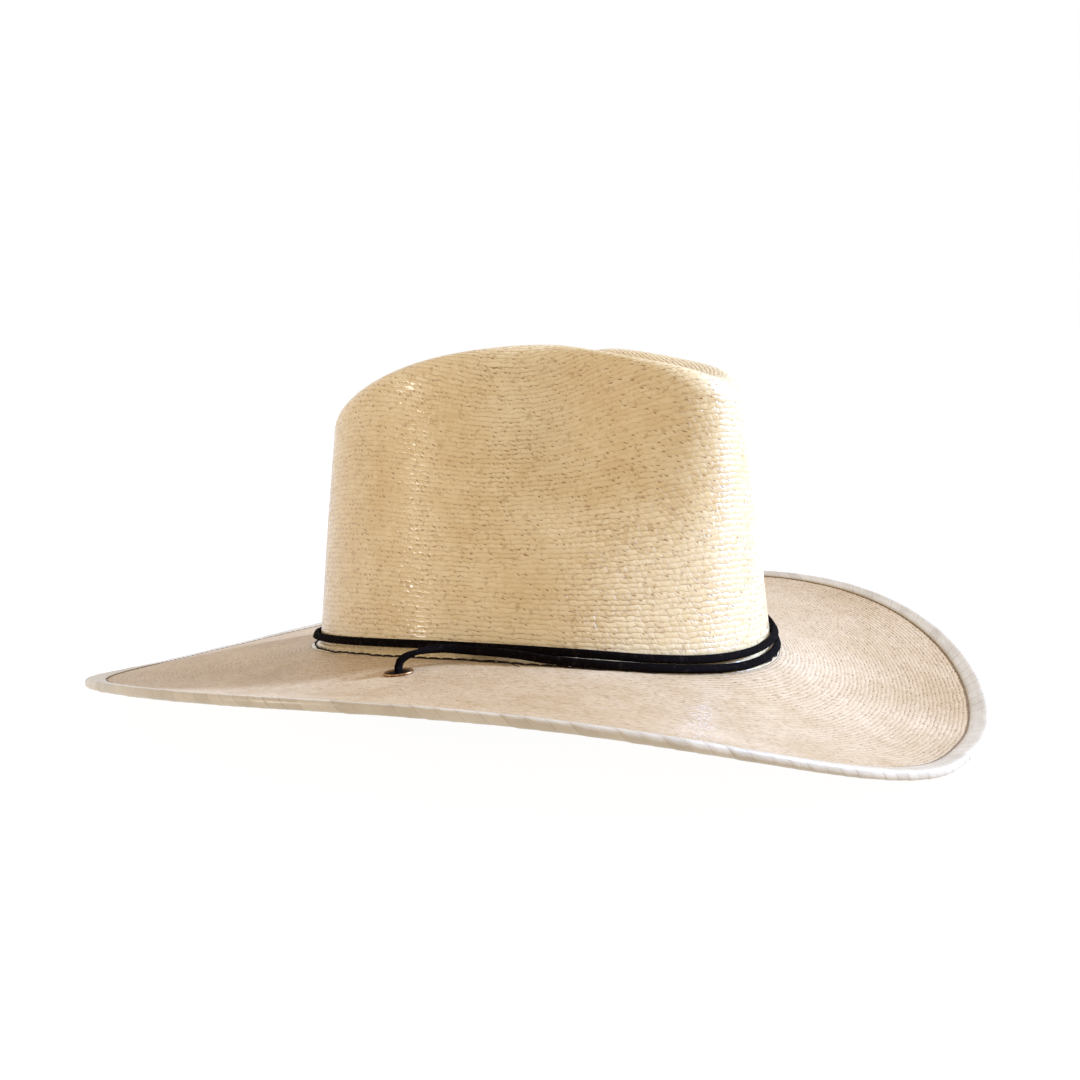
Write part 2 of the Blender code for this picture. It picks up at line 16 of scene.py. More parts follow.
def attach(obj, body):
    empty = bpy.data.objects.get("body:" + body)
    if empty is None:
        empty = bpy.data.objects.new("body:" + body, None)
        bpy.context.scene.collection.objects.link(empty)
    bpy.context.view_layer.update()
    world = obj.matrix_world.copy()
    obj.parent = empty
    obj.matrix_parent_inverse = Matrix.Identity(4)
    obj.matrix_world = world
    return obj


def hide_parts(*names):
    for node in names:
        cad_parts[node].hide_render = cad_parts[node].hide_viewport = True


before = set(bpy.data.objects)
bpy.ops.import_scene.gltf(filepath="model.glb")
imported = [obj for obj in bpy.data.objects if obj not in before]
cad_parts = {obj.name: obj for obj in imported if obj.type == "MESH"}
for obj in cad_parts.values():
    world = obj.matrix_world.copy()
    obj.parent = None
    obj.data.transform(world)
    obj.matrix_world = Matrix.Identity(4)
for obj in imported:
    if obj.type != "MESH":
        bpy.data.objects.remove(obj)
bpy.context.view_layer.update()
RNG = np.random.default_rng(7)

# ---- The hat's form, as in the CAD part; five values run front, corner, side, corner, back ----
HEAD_HALF_LENGTH = 0.102
HEAD_HALF_WIDTH = 0.087
BAND_HEIGHT = 0.0317
BAND_RISE = (-0.002, 0.002, 0.005, -0.002, -0.007)
BAND_FILLET = 0.004
BRIM_WIDTH = (0.092, 0.101, 0.102, 0.099, 0.105)
SLOPE_AT_BAND = np.radians((-29, -10, -9, -19, -11))
SLOPE_MIDWAY = np.radians((-19, -4, 1, -4, -11))
SLOPE_AT_EDGE = np.radians((-4, 8, 12, 6, -17))
RIDGE_HEIGHT = (0.116, 0.124, 0.125, 0.112, 0.095)
RIDGE_INSET = (0.0187, 0.0445, 0.0457, 0.0251, 0.0093)
SHOULDER_RUN = 0.0085
SHOULDER_DROP = 0.0125
SHOULDER_SHARE = 0.14
WALL_BULGE = 0.001
NOTCH_DEPTH = 0.0033
NOTCH_ANGLE = math.radians(14)
CREASE_FLOOR_FRONT = 0.105
CREASE_FLOOR_BACK = 0.086
DENT_DEPTH = 0.011
DENT_ANGLE = math.radians(50)
DENT_SPREAD = math.radians(27)
DENT_HEIGHT = 0.088
DENT_TALL = 0.030
BAND_REACH = 0.185
EDGE_REACH = 0.285
PALM_THICKNESS = 0.0014
MIDPLANE = -PALM_THICKNESS / 2
HEM_WIDTH = 0.0085
HEM_ROLL = 0.0022
FLAT_PRESS = HEM_ROLL - MIDPLANE
FLAT_SOFTNESS = 0.0003
CORD_RADIUS = 0.0016
CORD_END_HEIGHT = 0.0275
GAP = 0.0003

# Reach of the crown's ridge: the weave's rows are circles round its centre, and cross the ridge.
RIDGE_REACH = (0.089, 0.066, 0.055, 0.077, 0.084)


def around(stations, angle):
    """Smooth value at each angle from the front, through five values set every 45 degrees."""
    count = len(stations) - 1
    step = np.arange(count + 1)
    weight = np.ones(count + 1)
    weight[[0, -1]] = 0.5
    cosines = np.cos(np.pi * np.outer(step, step) / count)
    series = 2 / count * weight * (cosines @ (weight * np.array(stations)))
    return np.cos(np.multiply.outer(angle, step)) @ series


def head_oval(angle, inset=0.0):
    """Plan of the crown, drawn in from the band line's oval by an inset."""
    x = (HEAD_HALF_WIDTH - inset) * np.sin(angle)
    y = -(HEAD_HALF_LENGTH - inset) * np.cos(angle)
    return x, y


def outward(angle):
    """Horizontal direction that faces straight away from the head oval."""
    x = np.sin(angle) / HEAD_HALF_WIDTH
    y = -np.cos(angle) / HEAD_HALF_LENGTH
    length = np.hypot(x, y)
    return x / length, y / length


def crown_wall(angle, climb):
    """Point of the crown's side, from the band line (climb 0) to the ridge of the top (climb 1)."""
    rise = around(BAND_RISE, angle)
    from_front = np.abs((angle + np.pi) % (2 * np.pi) - np.pi)
    ridge = around(RIDGE_HEIGHT, angle) - NOTCH_DEPTH * np.exp(-(from_front / NOTCH_ANGLE) ** 2)
    full_inset = around(RIDGE_INSET, angle)
    straight = np.clip(climb / (1 - SHOULDER_SHARE), 0, 1)
    turn = np.clip((climb - 1 + SHOULDER_SHARE) / SHOULDER_SHARE, 0, 1) * np.pi / 2
    z = rise + (ridge - SHOULDER_DROP - rise) * straight + SHOULDER_DROP * np.sin(turn)
    inset = (full_inset - SHOULDER_RUN) * straight + SHOULDER_RUN * (1 - np.cos(turn))
    inset = inset - WALL_BULGE * np.sin(np.pi * straight)
    dent_round = np.exp(-((from_front - DENT_ANGLE) / DENT_SPREAD) ** 2)
    dent_up = np.exp(-((z - DENT_HEIGHT) / DENT_TALL) ** 2)
    x, y = head_oval(angle, inset + DENT_DEPTH * dent_round * dent_up)
    return x, y, z


def crown_top(angle, share):
    """Point of the top, from the middle of the crease (share 0) out to the ridge (share 1)."""
    x, y, ridge = crown_wall(angle, np.ones_like(angle))
    x = x * share
    y = y * share
    forward = 0.5 - y / (2 * HEAD_HALF_LENGTH)
    floor = CREASE_FLOOR_BACK + (CREASE_FLOOR_FRONT - CREASE_FLOOR_BACK) * forward
    ease = share * share * (3 - 2 * share)
    return x, y, floor + (ridge - floor) * ease


def brim(angle, share):
    """Point of the brim, from the band line (share 0) to the edge (share 1)."""
    at_band = around(SLOPE_AT_BAND, angle)
    midway = around(SLOPE_MIDWAY, angle)
    at_edge = around(SLOPE_AT_EDGE, angle)
    steps = 8
    run = np.zeros_like(angle)
    lift = np.zeros_like(angle)
    for step in range(steps):
        s = share * (step + 0.5) / steps
        slope = (at_band * (1 - s) * (1 - 2 * s) + midway * 4 * s * (1 - s)
                 + at_edge * s * (2 * s - 1))
        run = run + np.cos(slope) / steps
        lift = lift + np.sin(slope) / steps
    length = around(BRIM_WIDTH, angle) * share
    x, y = head_oval(angle)
    out_x, out_y = outward(angle)
    z = around(BAND_RISE, angle) + length * lift
    return x + out_x * length * run, y + out_y * length * run, z


def press_on_table(z):
    """Height over the table, with the lowest parts of the brim pressed flat against it."""
    above = (z + BAND_HEIGHT - FLAT_PRESS) / FLAT_SOFTNESS
    return FLAT_PRESS + FLAT_SOFTNESS * np.logaddexp(0, above)


def weave_face(reach, angle):
    """Outer face of the weave: one point for each pair of reach and angle."""
    ridge_reach = around(RIDGE_REACH, angle)
    wall_climb = (BAND_REACH - reach) / (BAND_REACH - ridge_reach)
    top = np.stack(crown_top(angle, np.clip(reach / ridge_reach, 0, 1)))
    wall = np.stack(crown_wall(angle, np.clip(wall_climb, 0, 1)))
    brim_share = (reach - BAND_REACH) / (EDGE_REACH - BAND_REACH)
    flare = np.stack(brim(angle, np.maximum(brim_share, 0)))
    point = np.where(reach < ridge_reach, top, np.where(reach < BAND_REACH, wall, flare))
    s = np.clip((reach - BAND_REACH + BAND_FILLET) / (2 * BAND_FILLET), 0, 1)
    fillet_climb = BAND_FILLET / (BAND_REACH - ridge_reach)
    fillet_share = BAND_FILLET / (EDGE_REACH - BAND_REACH) * np.ones_like(angle)
    before = np.stack(crown_wall(angle, fillet_climb))
    corner = np.stack(brim(angle, np.zeros_like(angle)))
    after = np.stack(brim(angle, fillet_share))
    curve = before * (1 - s) ** 2 + corner * 2 * s * (1 - s) + after * s ** 2
    point = np.where(np.abs(reach - BAND_REACH) < BAND_FILLET, curve, point)
    return np.stack((point[0], point[1] + SHIFT_Y, press_on_table(point[2])), axis=-1)


def weave_normal(reach, angle):
    """Direction that faces out of the weave."""
    nudge = 0.0005
    reach_in = np.maximum(reach - nudge, 0.0001)
    along = weave_face(reach + nudge, angle) - weave_face(reach_in, angle)
    swing = 0.005
    round_hat = weave_face(np.maximum(reach, 0.002), angle + swing)
    round_hat = round_hat - weave_face(np.maximum(reach, 0.002), angle - swing)
    normal = np.cross(along, round_hat)
    return normal / np.linalg.norm(normal, axis=-1, keepdims=True)


def block(reach, angle, height):
    """Press points of the flat pattern into the hat."""
    return weave_face(reach, angle) + weave_normal(reach, angle) * np.asarray(height)[..., None]


def outline_middle():
    """Shift that brings the middle of the brim's outline to the origin."""
    _, front, _ = brim(np.array([0.0]), np.array([1.0]))
    _, back, _ = brim(np.array([np.pi]), np.array([1.0]))
    return -(front[0] + back[0]) / 2


SHIFT_Y = outline_middle()

# ---- Camera ----
VIEW_AZIMUTH = math.radians(-61.5)
VIEW_ELEVATION = math.radians(4.23)
VIEW_DISTANCE = 0.620
VIEW_TARGET = Vector((0, SHIFT_Y, BAND_HEIGHT + 0.062))
LENS = 47.0
SHIFT = (-0.0014, -0.0426)


def direction(azimuth, elevation):
    """Unit vector away from the hat; azimuth is turned from the front, positive to its left side."""
    flat = math.cos(elevation)
    return Vector((math.sin(azimuth) * flat, -math.cos(azimuth) * flat, math.sin(elevation)))


def make_camera():
    data = bpy.data.cameras.new("camera")
    data.lens = LENS
    data.sensor_width = 36
    data.shift_x, data.shift_y = SHIFT
    data.clip_start = 0.01
    camera = bpy.data.objects.new("camera", data)
    back = direction(VIEW_AZIMUTH, VIEW_ELEVATION)
    camera.location = VIEW_TARGET + back * VIEW_DISTANCE
    camera.rotation_mode = "QUATERNION"
    camera.rotation_quaternion = back.to_track_quat("Z", "Y")
    bpy.context.scene.collection.objects.link(camera)
    bpy.context.scene.camera = camera


make_camera()
bpy.context.scene.view_settings.view_transform = "Standard"

# ---- Material helpers ----


class Shader:
    """A node material under construction: short calls that add a node and return its output."""

    def __init__(self, name):
        self.material = bpy.data.materials.new(name)
        self.material.use_nodes = True
        self.nodes = self.material.node_tree.nodes
        self.links = self.material.node_tree.links
        self.principled = self.nodes["Principled BSDF"]

    def plug(self, value, socket):
        """Set a socket to a number or a colour, or link an output to it."""
        if isinstance(value, bpy.types.NodeSocket):
            self.links.new(value, socket)
        elif isinstance(value, tuple) and len(value) == 3 and socket.type == "RGBA":
            socket.default_value = (*value, 1)
        else:
            socket.default_value = value

    def math(self, operation, *values):
        node = self.nodes.new("ShaderNodeMath")
        node.operation = operation
        for value, socket in zip(values, node.inputs):
            self.plug(value, socket)
        return node.outputs[0]

    def uv(self):
        """The two numbers of the surface's pattern coordinates."""
        node = self.nodes.new("ShaderNodeUVMap")
        split = self.nodes.new("ShaderNodeSeparateXYZ")
        self.links.new(node.outputs[0], split.inputs[0])
        return split.outputs[0], split.outputs[1]

    def join(self, x, y, z=0.0):
        node = self.nodes.new("ShaderNodeCombineXYZ")
        for value, socket in zip((x, y, z), node.inputs):
            self.plug(value, socket)
        return node.outputs[0]

    def object_point(self):
        return self.nodes.new("ShaderNodeTexCoord").outputs["Object"]

    def noise(self, where, scale, detail=2.0, roughness=0.5):
        node = self.nodes.new("ShaderNodeTexNoise")
        self.plug(where, node.inputs["Vector"])
        node.inputs["Scale"].default_value = scale
        node.inputs["Detail"].default_value = detail
        node.inputs["Roughness"].default_value = roughness
        return node.outputs["Fac"]

    def dice(self, where):
        """One random number for each whole-number cell."""
        node = self.nodes.new("ShaderNodeTexWhiteNoise")
        node.noise_dimensions = "3D"
        self.plug(where, node.inputs["Vector"])
        return node.outputs["Value"]

    def remap(self, value, low, high, to_low=0.0, to_high=1.0):
        node = self.nodes.new("ShaderNodeMapRange")
        for number, socket in zip((value, low, high, to_low, to_high), node.inputs):
            self.plug(number, socket)
        return node.outputs[0]

    def mix(self, factor, first, second):
        """Blend of two colours, which the Mix node holds as its inputs 6 and 7."""
        node = self.nodes.new("ShaderNodeMix")
        node.data_type = "RGBA"
        self.plug(factor, node.inputs[0])
        self.plug(first, node.inputs[6])
        self.plug(second, node.inputs[7])
        return node.outputs[2]

    def bump(self, height, distance, strength=1.0):
        node = self.nodes.new("ShaderNodeBump")
        node.inputs["Strength"].default_value = strength
        node.inputs["Distance"].default_value = distance
        self.plug(height, node.inputs["Height"])
        return node.outputs[0]

    def finish(self, **sockets):
        for name, value in sockets.items():
            self.plug(value, self.principled.inputs[name.replace("_", " ")])
        return self.material


def palm_material(name, pale, deep, line_color, speck_color, line_strength, shine, relief):
    """Lacquered palm leaf: rows of short strand floats, with soft brown lines between the rows,
    partly painted shade in the grooves.
    """
    s = Shader(name)
    strand, row = s.uv()
    waver = s.noise(s.object_point(), 230.0, 2.0, 0.6)
    row = s.math("ADD", row, s.remap(waver, 0.3, 0.7, -0.20, 0.20))
    row_cell = s.math("FLOOR", row)
    across = s.math("FRACT", row)
    drift_place = s.join(s.math("MULTIPLY", strand, 0.45), s.math("MULTIPLY", row_cell, 5.13))
    drift = s.noise(drift_place, 1.0, 1.0)
    strand = s.math("ADD", strand, s.math("MULTIPLY", drift, 1.6))
    slanted = s.math("SUBTRACT", strand, s.math("MULTIPLY", across, 0.30))
    strand_cell = s.math("FLOOR", slanted)
    along = s.math("FRACT", slanted)
    luck = s.dice(s.join(strand_cell, row_cell))
    other_luck = s.dice(s.join(strand_cell, row_cell, 3.0))
    third_luck = s.dice(s.join(strand_cell, row_cell, 9.0))
    row_luck = s.dice(s.join(7.0, row_cell, 5.0))
    # Each float is a low pillow: highest in the middle, lowest at its ends and at the row's groove.
    arch = s.math("SINE", s.math("MULTIPLY", along, math.pi))
    sides = s.math("SINE", s.math("MULTIPLY", across, math.pi))
    pillow = s.math("MULTIPLY", s.math("POWER", arch, 0.22), s.math("POWER", sides, 0.50))
    # A soft dark line between rows that comes and goes along its length and over the hat: partly the
    # leaf's own brown, partly painted shade in the groove between rows.
    line = s.remap(sides, 0.05, 0.60, 1.0, 0.0)
    run_place = s.join(s.math("MULTIPLY", strand, 1.3), s.math("MULTIPLY", row_cell, 7.31))
    run = s.noise(run_place, 1.0, 3.0, 0.7)
    broken = s.remap(run, 0.42, 0.66, 0.0, 1.0)
    patch = s.remap(s.noise(s.object_point(), 26.0, 3.0, 0.6), 0.36, 0.64, 0.25, 1.20)
    dark = s.math("MULTIPLY", s.math("MULTIPLY", line, broken), patch)
    tip = s.remap(arch, 0.05, 0.40, 1.0, 0.0)
    tip = s.math("MULTIPLY", tip, s.remap(other_luck, 0.5, 1.0, 0.0, 0.35))
    dark = s.math("MAXIMUM", dark, s.math("MULTIPLY", tip, patch))
    cloud = s.noise(s.object_point(), 22.0, 4.0, 0.6)
    fibre = s.noise(s.join(s.math("MULTIPLY", strand, 2.0), s.math("MULTIPLY", row, 8.0)), 1.0, 2.0)
    tone = s.math("ADD", s.math("MULTIPLY", luck, 0.35), s.remap(cloud, 0.3, 0.7, -0.20, 0.70))
    tone = s.math("ADD", tone, s.math("MULTIPLY", row_luck, 0.10))
    tone = s.math("ADD", tone, s.remap(fibre, 0.3, 0.7, -0.12, 0.12))
    color = s.mix(tone, deep, pale)
    color = s.mix(s.math("MULTIPLY", dark, line_strength), color, line_color)
    # Strand ends tucked into the groove show as short slanted specks, more of them in some places.
    centre = s.remap(third_luck, 0.0, 1.0, 0.30, 0.70)
    lengthwise = s.math("DIVIDE", s.math("SUBTRACT", along, centre), 0.15)
    sideways = s.math("DIVIDE", s.math("SUBTRACT", across, 0.16), 0.25)
    lengthwise = s.math("SUBTRACT", lengthwise, s.math("MULTIPLY", sideways, 1.1))
    distance = s.math("ADD", s.math("POWER", s.math("ABSOLUTE", lengthwise), 2.0),
                      s.math("POWER", s.math("ABSOLUTE", sideways), 2.0))
    crowd = s.remap(s.noise(s.object_point(), 34.0, 2.0, 0.5), 0.35, 0.65, 0.74, 0.36)
    chosen = s.remap(s.math("SUBTRACT", other_luck, crowd), 0.0, 0.15, 0.35, 1.0)
    chosen = s.math("MULTIPLY", chosen, s.math("GREATER_THAN", other_luck, crowd))
    fleck = s.math("MULTIPLY", s.remap(distance, 0.15, 1.0, 1.0, 0.0), chosen)
    color = s.mix(s.math("MULTIPLY", fleck, 0.92), color, speck_color)
    # Small stains of the leaf, a few millimetres long, break up the rows' regular look.
    stain = s.remap(s.noise(s.object_point(), 400.0, 2.0, 0.5), 0.58, 0.72, 0.0, 0.45)
    color = s.mix(stain, color, line_color)
    height = s.math("ADD", pillow, s.math("MULTIPLY", fibre, 0.25))
    height = s.math("ADD", height, s.math("MULTIPLY", luck, 0.20))
    tilt = s.math("MULTIPLY", s.math("SUBTRACT", along, 0.5), s.math("SUBTRACT", third_luck, 0.5))
    height = s.math("ADD", height, s.math("MULTIPLY", tilt, 2.2))
    height = s.math("SUBTRACT", height, s.math("MULTIPLY", fleck, 0.6))
    rub = s.math("ADD", third_luck, fibre)
    roughness = s.remap(rub, 0.4, 1.6, 0.53 - shine, 0.60 - 0.4 * shine)
    return s.finish(Base_Color=color, Roughness=roughness, Normal=s.bump(height, relief, 0.9),
                    Specular_IOR_Level=shine, Coat_Weight=0.5 * shine, Coat_Roughness=0.12)


def hem_material():
    """Palm strands wrapped slantwise over the edge, with a painted shadow line at each wrap's step;
    the pattern counts wraps and goes round them.
    """
    s = Shader("palm_hem_wrap")
    wrap, over = s.uv()
    cell = s.math("FLOOR", wrap)
    part = s.math("FRACT", wrap)
    luck = s.dice(s.join(cell, 1.0))
    other_luck = s.dice(s.join(cell, 2.0))
    fibre = s.noise(s.join(s.math("MULTIPLY", wrap, 2.5), s.math("MULTIPLY", over, 6.0)), 1.0, 3.0)
    fine = s.noise(s.object_point(), 900.0, 3.0, 0.6)
    cloud = s.noise(s.object_point(), 60.0, 3.0, 0.6)
    tone = s.math("ADD", s.math("MULTIPLY", luck, 0.45), s.remap(cloud, 0.3, 0.7, 0.0, 0.6))
    color = s.mix(tone, (0.37, 0.275, 0.17), (0.51, 0.40, 0.27))
    stretch = s.remap(s.noise(s.object_point(), 14.0, 2.0, 0.5), 0.38, 0.62, 0.45, 1.0)
    # Painted shadow: a dark line at the edge of each wrap, where it steps over the next.
    step_shadow = s.remap(part, 0.0, 0.075, 1.0, 0.0)
    step_shadow = s.math("MULTIPLY", step_shadow, s.remap(other_luck, 0.0, 0.7, 0.2, 0.9))
    step_shadow = s.math("MULTIPLY", step_shadow, stretch)
    color = s.mix(step_shadow, color, (0.15, 0.090, 0.045))
    stain = s.math("MULTIPLY", s.remap(fine, 0.60, 0.72), s.remap(luck, 0.5, 1.0, 0.0, 0.5))
    color = s.mix(stain, color, (0.36, 0.25, 0.14))
    height = s.math("ADD", s.math("MULTIPLY", fibre, 0.8), s.math("MULTIPLY", fine, 0.4))
    return s.finish(Base_Color=color, Roughness=0.36, Normal=s.bump(height, 0.00015, 0.9),
                    Coat_Weight=0.2, Coat_Roughness=0.2)


def suede_material():
    """Black suede lace: matt, with a short nap that catches light, and browner worn patches."""
    s = Shader("suede_lace")
    nap = s.noise(s.object_point(), 2600.0, 4.0, 0.7)
    rub = s.noise(s.object_point(), 420.0, 3.0, 0.6)
    color = s.mix(s.remap(nap, 0.42, 0.70), (0.0022, 0.0013, 0.0011), (0.0065, 0.0040, 0.0034))
    color = s.mix(s.remap(rub, 0.56, 0.76, 0.0, 0.35), color, (0.040, 0.026, 0.020))
    return s.finish(Base_Color=color, Roughness=0.92, Normal=s.bump(nap, 0.00030, 0.8),
                    Specular_IOR_Level=0.02)


def thread_material(name, color, twist):
    """Twisted sewing thread; the pattern's first number counts along the thread."""
    s = Shader(name)
    along, over = s.uv()
    turns = s.math("ADD", s.math("MULTIPLY", along, twist), s.math("MULTIPLY", over, 2 * math.pi))
    ply = s.math("SINE", turns)
    # Painted shade: the thread is darker where the plies dip between the twists.
    shade = s.mix(s.remap(ply, -1.0, 1.0), tuple(0.45 * c for c in color), color)
    return s.finish(Base_Color=shade, Roughness=0.75, Normal=s.bump(ply, 0.00008, 0.8),
                    Specular_IOR_Level=0.1)


def brass_material():
    """Worn brass; the pattern's first number is 1 inside the barrel, which is painted near black as
    painted shade in the deep hole.
    """
    s = Shader("worn_brass_shaded_barrel")
    barrel_shade, _ = s.uv()
    wear = s.noise(s.object_point(), 700.0, 4.0, 0.65)
    color = s.mix(s.remap(wear, 0.35, 0.70), (0.16, 0.065, 0.022), (0.50, 0.27, 0.11))
    # Painted shade: the inside of the barrel is coloured near black, as the deep hole would be in
    # shade.
    color = s.mix(barrel_shade, color, (0.012, 0.007, 0.005))
    return s.finish(Base_Color=color, Metallic=1.0, Roughness=s.remap(wear, 0.3, 0.7, 0.50, 0.32),
                    Normal=s.bump(wear, 0.00004, 0.5))


def steel_material():
    s = Shader("drawn_steel")
    wear = s.noise(s.object_point(), 900.0, 3.0, 0.6)
    color = s.mix(wear, (0.42, 0.42, 0.43), (0.62, 0.62, 0.63))
    return s.finish(Base_Color=color, Metallic=1.0, Roughness=s.remap(wear, 0.3, 0.7, 0.4, 0.25))


def leather_material():
    """Smooth tan sweatband leather with pores and soft mottling."""
    s = Shader("sweatband_leather")
    pores = s.noise(s.object_point(), 1500.0, 5.0, 0.65)
    mottle = s.noise(s.object_point(), 45.0, 4.0, 0.6)
    color = s.mix(s.remap(mottle, 0.3, 0.7), (0.16, 0.085, 0.042), (0.27, 0.15, 0.075))
    color = s.mix(s.remap(pores, 0.55, 0.75, 0.0, 0.5), color, (0.09, 0.045, 0.02))
    return s.finish(Base_Color=color, Roughness=s.remap(pores, 0.3, 0.7, 0.42, 0.60),
                    Normal=s.bump(pores, 0.00012, 0.6))


def reed_material():
    s = Shader("reed_plastic")
    drag = s.noise(s.object_point(), 500.0, 3.0, 0.6)
    color = s.mix(drag, (0.50, 0.46, 0.36), (0.66, 0.62, 0.50))
    return s.finish(Base_Color=color, Roughness=0.5, Normal=s.bump(drag, 0.00005, 0.5))


def wood_material():
    """Oiled dark wood of the cord's slide, grain along the cord."""
    s = Shader("oiled_wood")
    stretch = s.nodes.new("ShaderNodeMapping")
    stretch.inputs["Scale"].default_value = (1.0, 0.12, 1.0)
    s.plug(s.object_point(), stretch.inputs["Vector"])
    grain = s.noise(stretch.outputs[0], 900.0, 5.0, 0.65)
    color = s.mix(s.remap(grain, 0.35, 0.68), (0.045, 0.020, 0.009), (0.17, 0.085, 0.038))
    return s.finish(Base_Color=color, Roughness=s.remap(grain, 0.3, 0.7, 0.5, 0.32),
                    Normal=s.bump(grain, 0.00006, 0.7), Coat_Weight=0.15, Coat_Roughness=0.25)


# ---- Mesh helpers ----


def shown(name, mesh, look, slot, *nodes, body="hat"):
    """A piece of the hat: gets its material, rides on its body and stands for its CAD nodes."""
    piece = bpy.data.objects.new(name, mesh)
    mesh.materials.append(look)
    mesh.shade_smooth()
    bpy.context.scene.collection.objects.link(piece)
    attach(piece, body)
    if nodes:
        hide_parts(*nodes)
    return piece


def ring_mesh(name, rings, uv, closed=False):
    """Quads between rings of points that run round the hat.

    rings is an array (ring, column, xyz). uv is an array (ring step, column, corner, 2), or None.
    A closed section joins its last ring to its first.
    """
    count, columns = rings.shape[:2]
    steps = count if closed else count - 1
    i, j = np.meshgrid(np.arange(steps), np.arange(columns), indexing="ij")
    below = (i + 1) % count
    beside = (j + 1) % columns
    quads = np.stack((i * columns + j, below * columns + j, below * columns + beside,
                      i * columns + beside), axis=-1)
    mesh = bpy.data.meshes.new(name)
    mesh.from_pydata(rings.reshape(-1, 3), [], quads.reshape(-1, 4).tolist())
    if uv is not None:
        layer = mesh.uv_layers.new(name="pattern")
        layer.data.foreach_set("uv", uv.reshape(-1).astype(np.float32))
    return mesh


def close_middle(mesh):
    """Weld the points that a round piece has at the crown's centre."""
    bm = bmesh.new()
    bm.from_mesh(mesh)
    bmesh.ops.remove_doubles(bm, verts=bm.verts, dist=0.000002)
    bm.to_mesh(mesh)
    bm.free()


def ring_lengths(reaches, columns=180):
    """Length round the hat at each reach."""
    angle = np.linspace(0, 2 * np.pi, columns, endpoint=False)
    height = np.zeros(len(reaches) * columns)
    points = block(np.repeat(reaches, columns), np.tile(angle, len(reaches)), height)
    points = points.reshape(len(reaches), columns, 3)
    return np.linalg.norm(points - np.roll(points, 1, axis=1), axis=-1).sum(axis=1)


# ---- Weave: rows of strands, each float a strand's visible length ----
ROW_PITCH = 0.0019
ROW_SAMPLES = (0.0, 0.15, 0.5, 0.85)
GROOVE_DEPTH = 0.00004
STRAND_FLOAT = 0.0036
ROW_PHASES = np.random.default_rng(3).random(2000)[5:]
CROWN_COLUMNS = 220
BRIM_COLUMNS = 300
CROWN_END = BAND_REACH + BAND_FILLET
BRIM_END = EDGE_REACH - 0.0044
EYELET_REACH = BAND_REACH + 0.0245
EYELET_HOLE_RADIUS = 0.0043
# The rows stray sideways by a sum of waves, which fades out at the sheet's ends.
WANDER_SWING = 0.00005
WANDER_FADE = 0.006
WANDER = [(int(waves), drift, phase) for waves, drift, phase in zip(
    RNG.integers(5, 100, 12), RNG.uniform(-1600, 1600, 12), RNG.uniform(0, 6.3, 12))]


def weave_reaches(start, end, samples):
    """Reaches of the rings from start to end, with the same samples in every row."""
    rows = np.arange(math.floor(start / ROW_PITCH), math.ceil(end / ROW_PITCH))
    reaches = (rows[:, None] + np.array(samples)).ravel() * ROW_PITCH
    inside = reaches[(reaches > start + 0.0002) & (reaches < end - 0.0002)]
    return np.concatenate(([start], inside, [end]))


def groove(reach):
    """Height of the weave's rows: flat bands with a narrow groove between them."""
    part = np.abs(2 * ((reach / ROW_PITCH) % 1) - 1)
    return -GROOVE_DEPTH * part ** 4


def strand_uv(reaches, columns):
    """Pattern coordinates: strands counted round the hat, and rows counted out from the centre."""
    middles = (reaches[1:] + reaches[:-1]) / 2
    rows = np.floor(middles / ROW_PITCH).astype(int)
    girth = ring_lengths((rows + 0.5) * ROW_PITCH)
    strands = np.maximum(np.round(girth / STRAND_FLOAT), 6)
    turn = np.arange(columns + 1) / columns
    across = turn[None, :] * strands[:, None] + ROW_PHASES[rows][:, None]
    low = np.broadcast_to((reaches[:-1] / ROW_PITCH + 1e-5)[:, None], (len(middles), columns))
    high = np.broadcast_to((reaches[1:] / ROW_PITCH - 1e-5)[:, None], (len(middles), columns))
    u = np.stack((across[:, :-1], across[:, :-1], across[:, 1:], across[:, 1:]), axis=-1)
    v = np.stack((low, high, high, low), axis=-1)
    return np.stack((u, v), axis=-1)


def row_wander(reach, angle, start, end):
    """Small sideways wander of the rows, none at the ends of the sheet."""
    wander = np.zeros_like(reach)
    for waves, drift, phase in WANDER:
        wander = wander + WANDER_SWING * np.sin(waves * angle + drift * reach + phase)
    inner = 1 if start == 0 else np.clip((reach - start) / WANDER_FADE, 0, 1)
    return wander * inner * np.clip((end - reach) / WANDER_FADE, 0, 1) * np.clip(reach / 0.03, 0, 1)


def woven_rings(reaches, columns, heights):
    """Points of the rings at the given reaches, as an array (ring, column, xyz)."""
    angle = np.tile(np.linspace(0, 2 * np.pi, columns, endpoint=False), len(reaches))
    reach = np.repeat(reaches, columns)
    reach = reach + row_wander(reach, angle, reaches[0], reaches[-1])
    return block(reach, angle, np.repeat(heights, columns)).reshape(len(reaches), columns, 3)


def punch(mesh, seats, radius):
    """Round holes through a sheet at the given seats, each a centre and its upward direction."""
    bm = bmesh.new()
    bm.from_mesh(mesh)
    for seat, up in seats:
        close = [edge for edge in bm.edges if (edge.verts[0].co - seat).length < radius + 0.004]
        bmesh.ops.subdivide_edges(bm, edges=close, cuts=4, use_grid_fill=True)
        inside = []
        for face in bm.faces:
            offset = face.calc_center_median() - seat
            if offset.length < 2 * radius and (offset - up * offset.dot(up)).length < radius:
                inside.append(face)
        bmesh.ops.delete(bm, geom=inside, context="FACES")
        rim = [edge for edge in bm.edges if edge.is_boundary]
        bmesh.ops.bridge_loops(bm, edges=rim)
    bm.to_mesh(mesh)
    bm.free()


def eyelet_seat(side):
    """Centre and upward direction of an eyelet on the brim's top; side is -1 right, +1 left."""
    angle = np.array([side * np.pi / 2])
    reach = np.array([EYELET_REACH])
    return Vector(weave_face(reach, angle)[0]), Vector(weave_normal(reach, angle)[0])


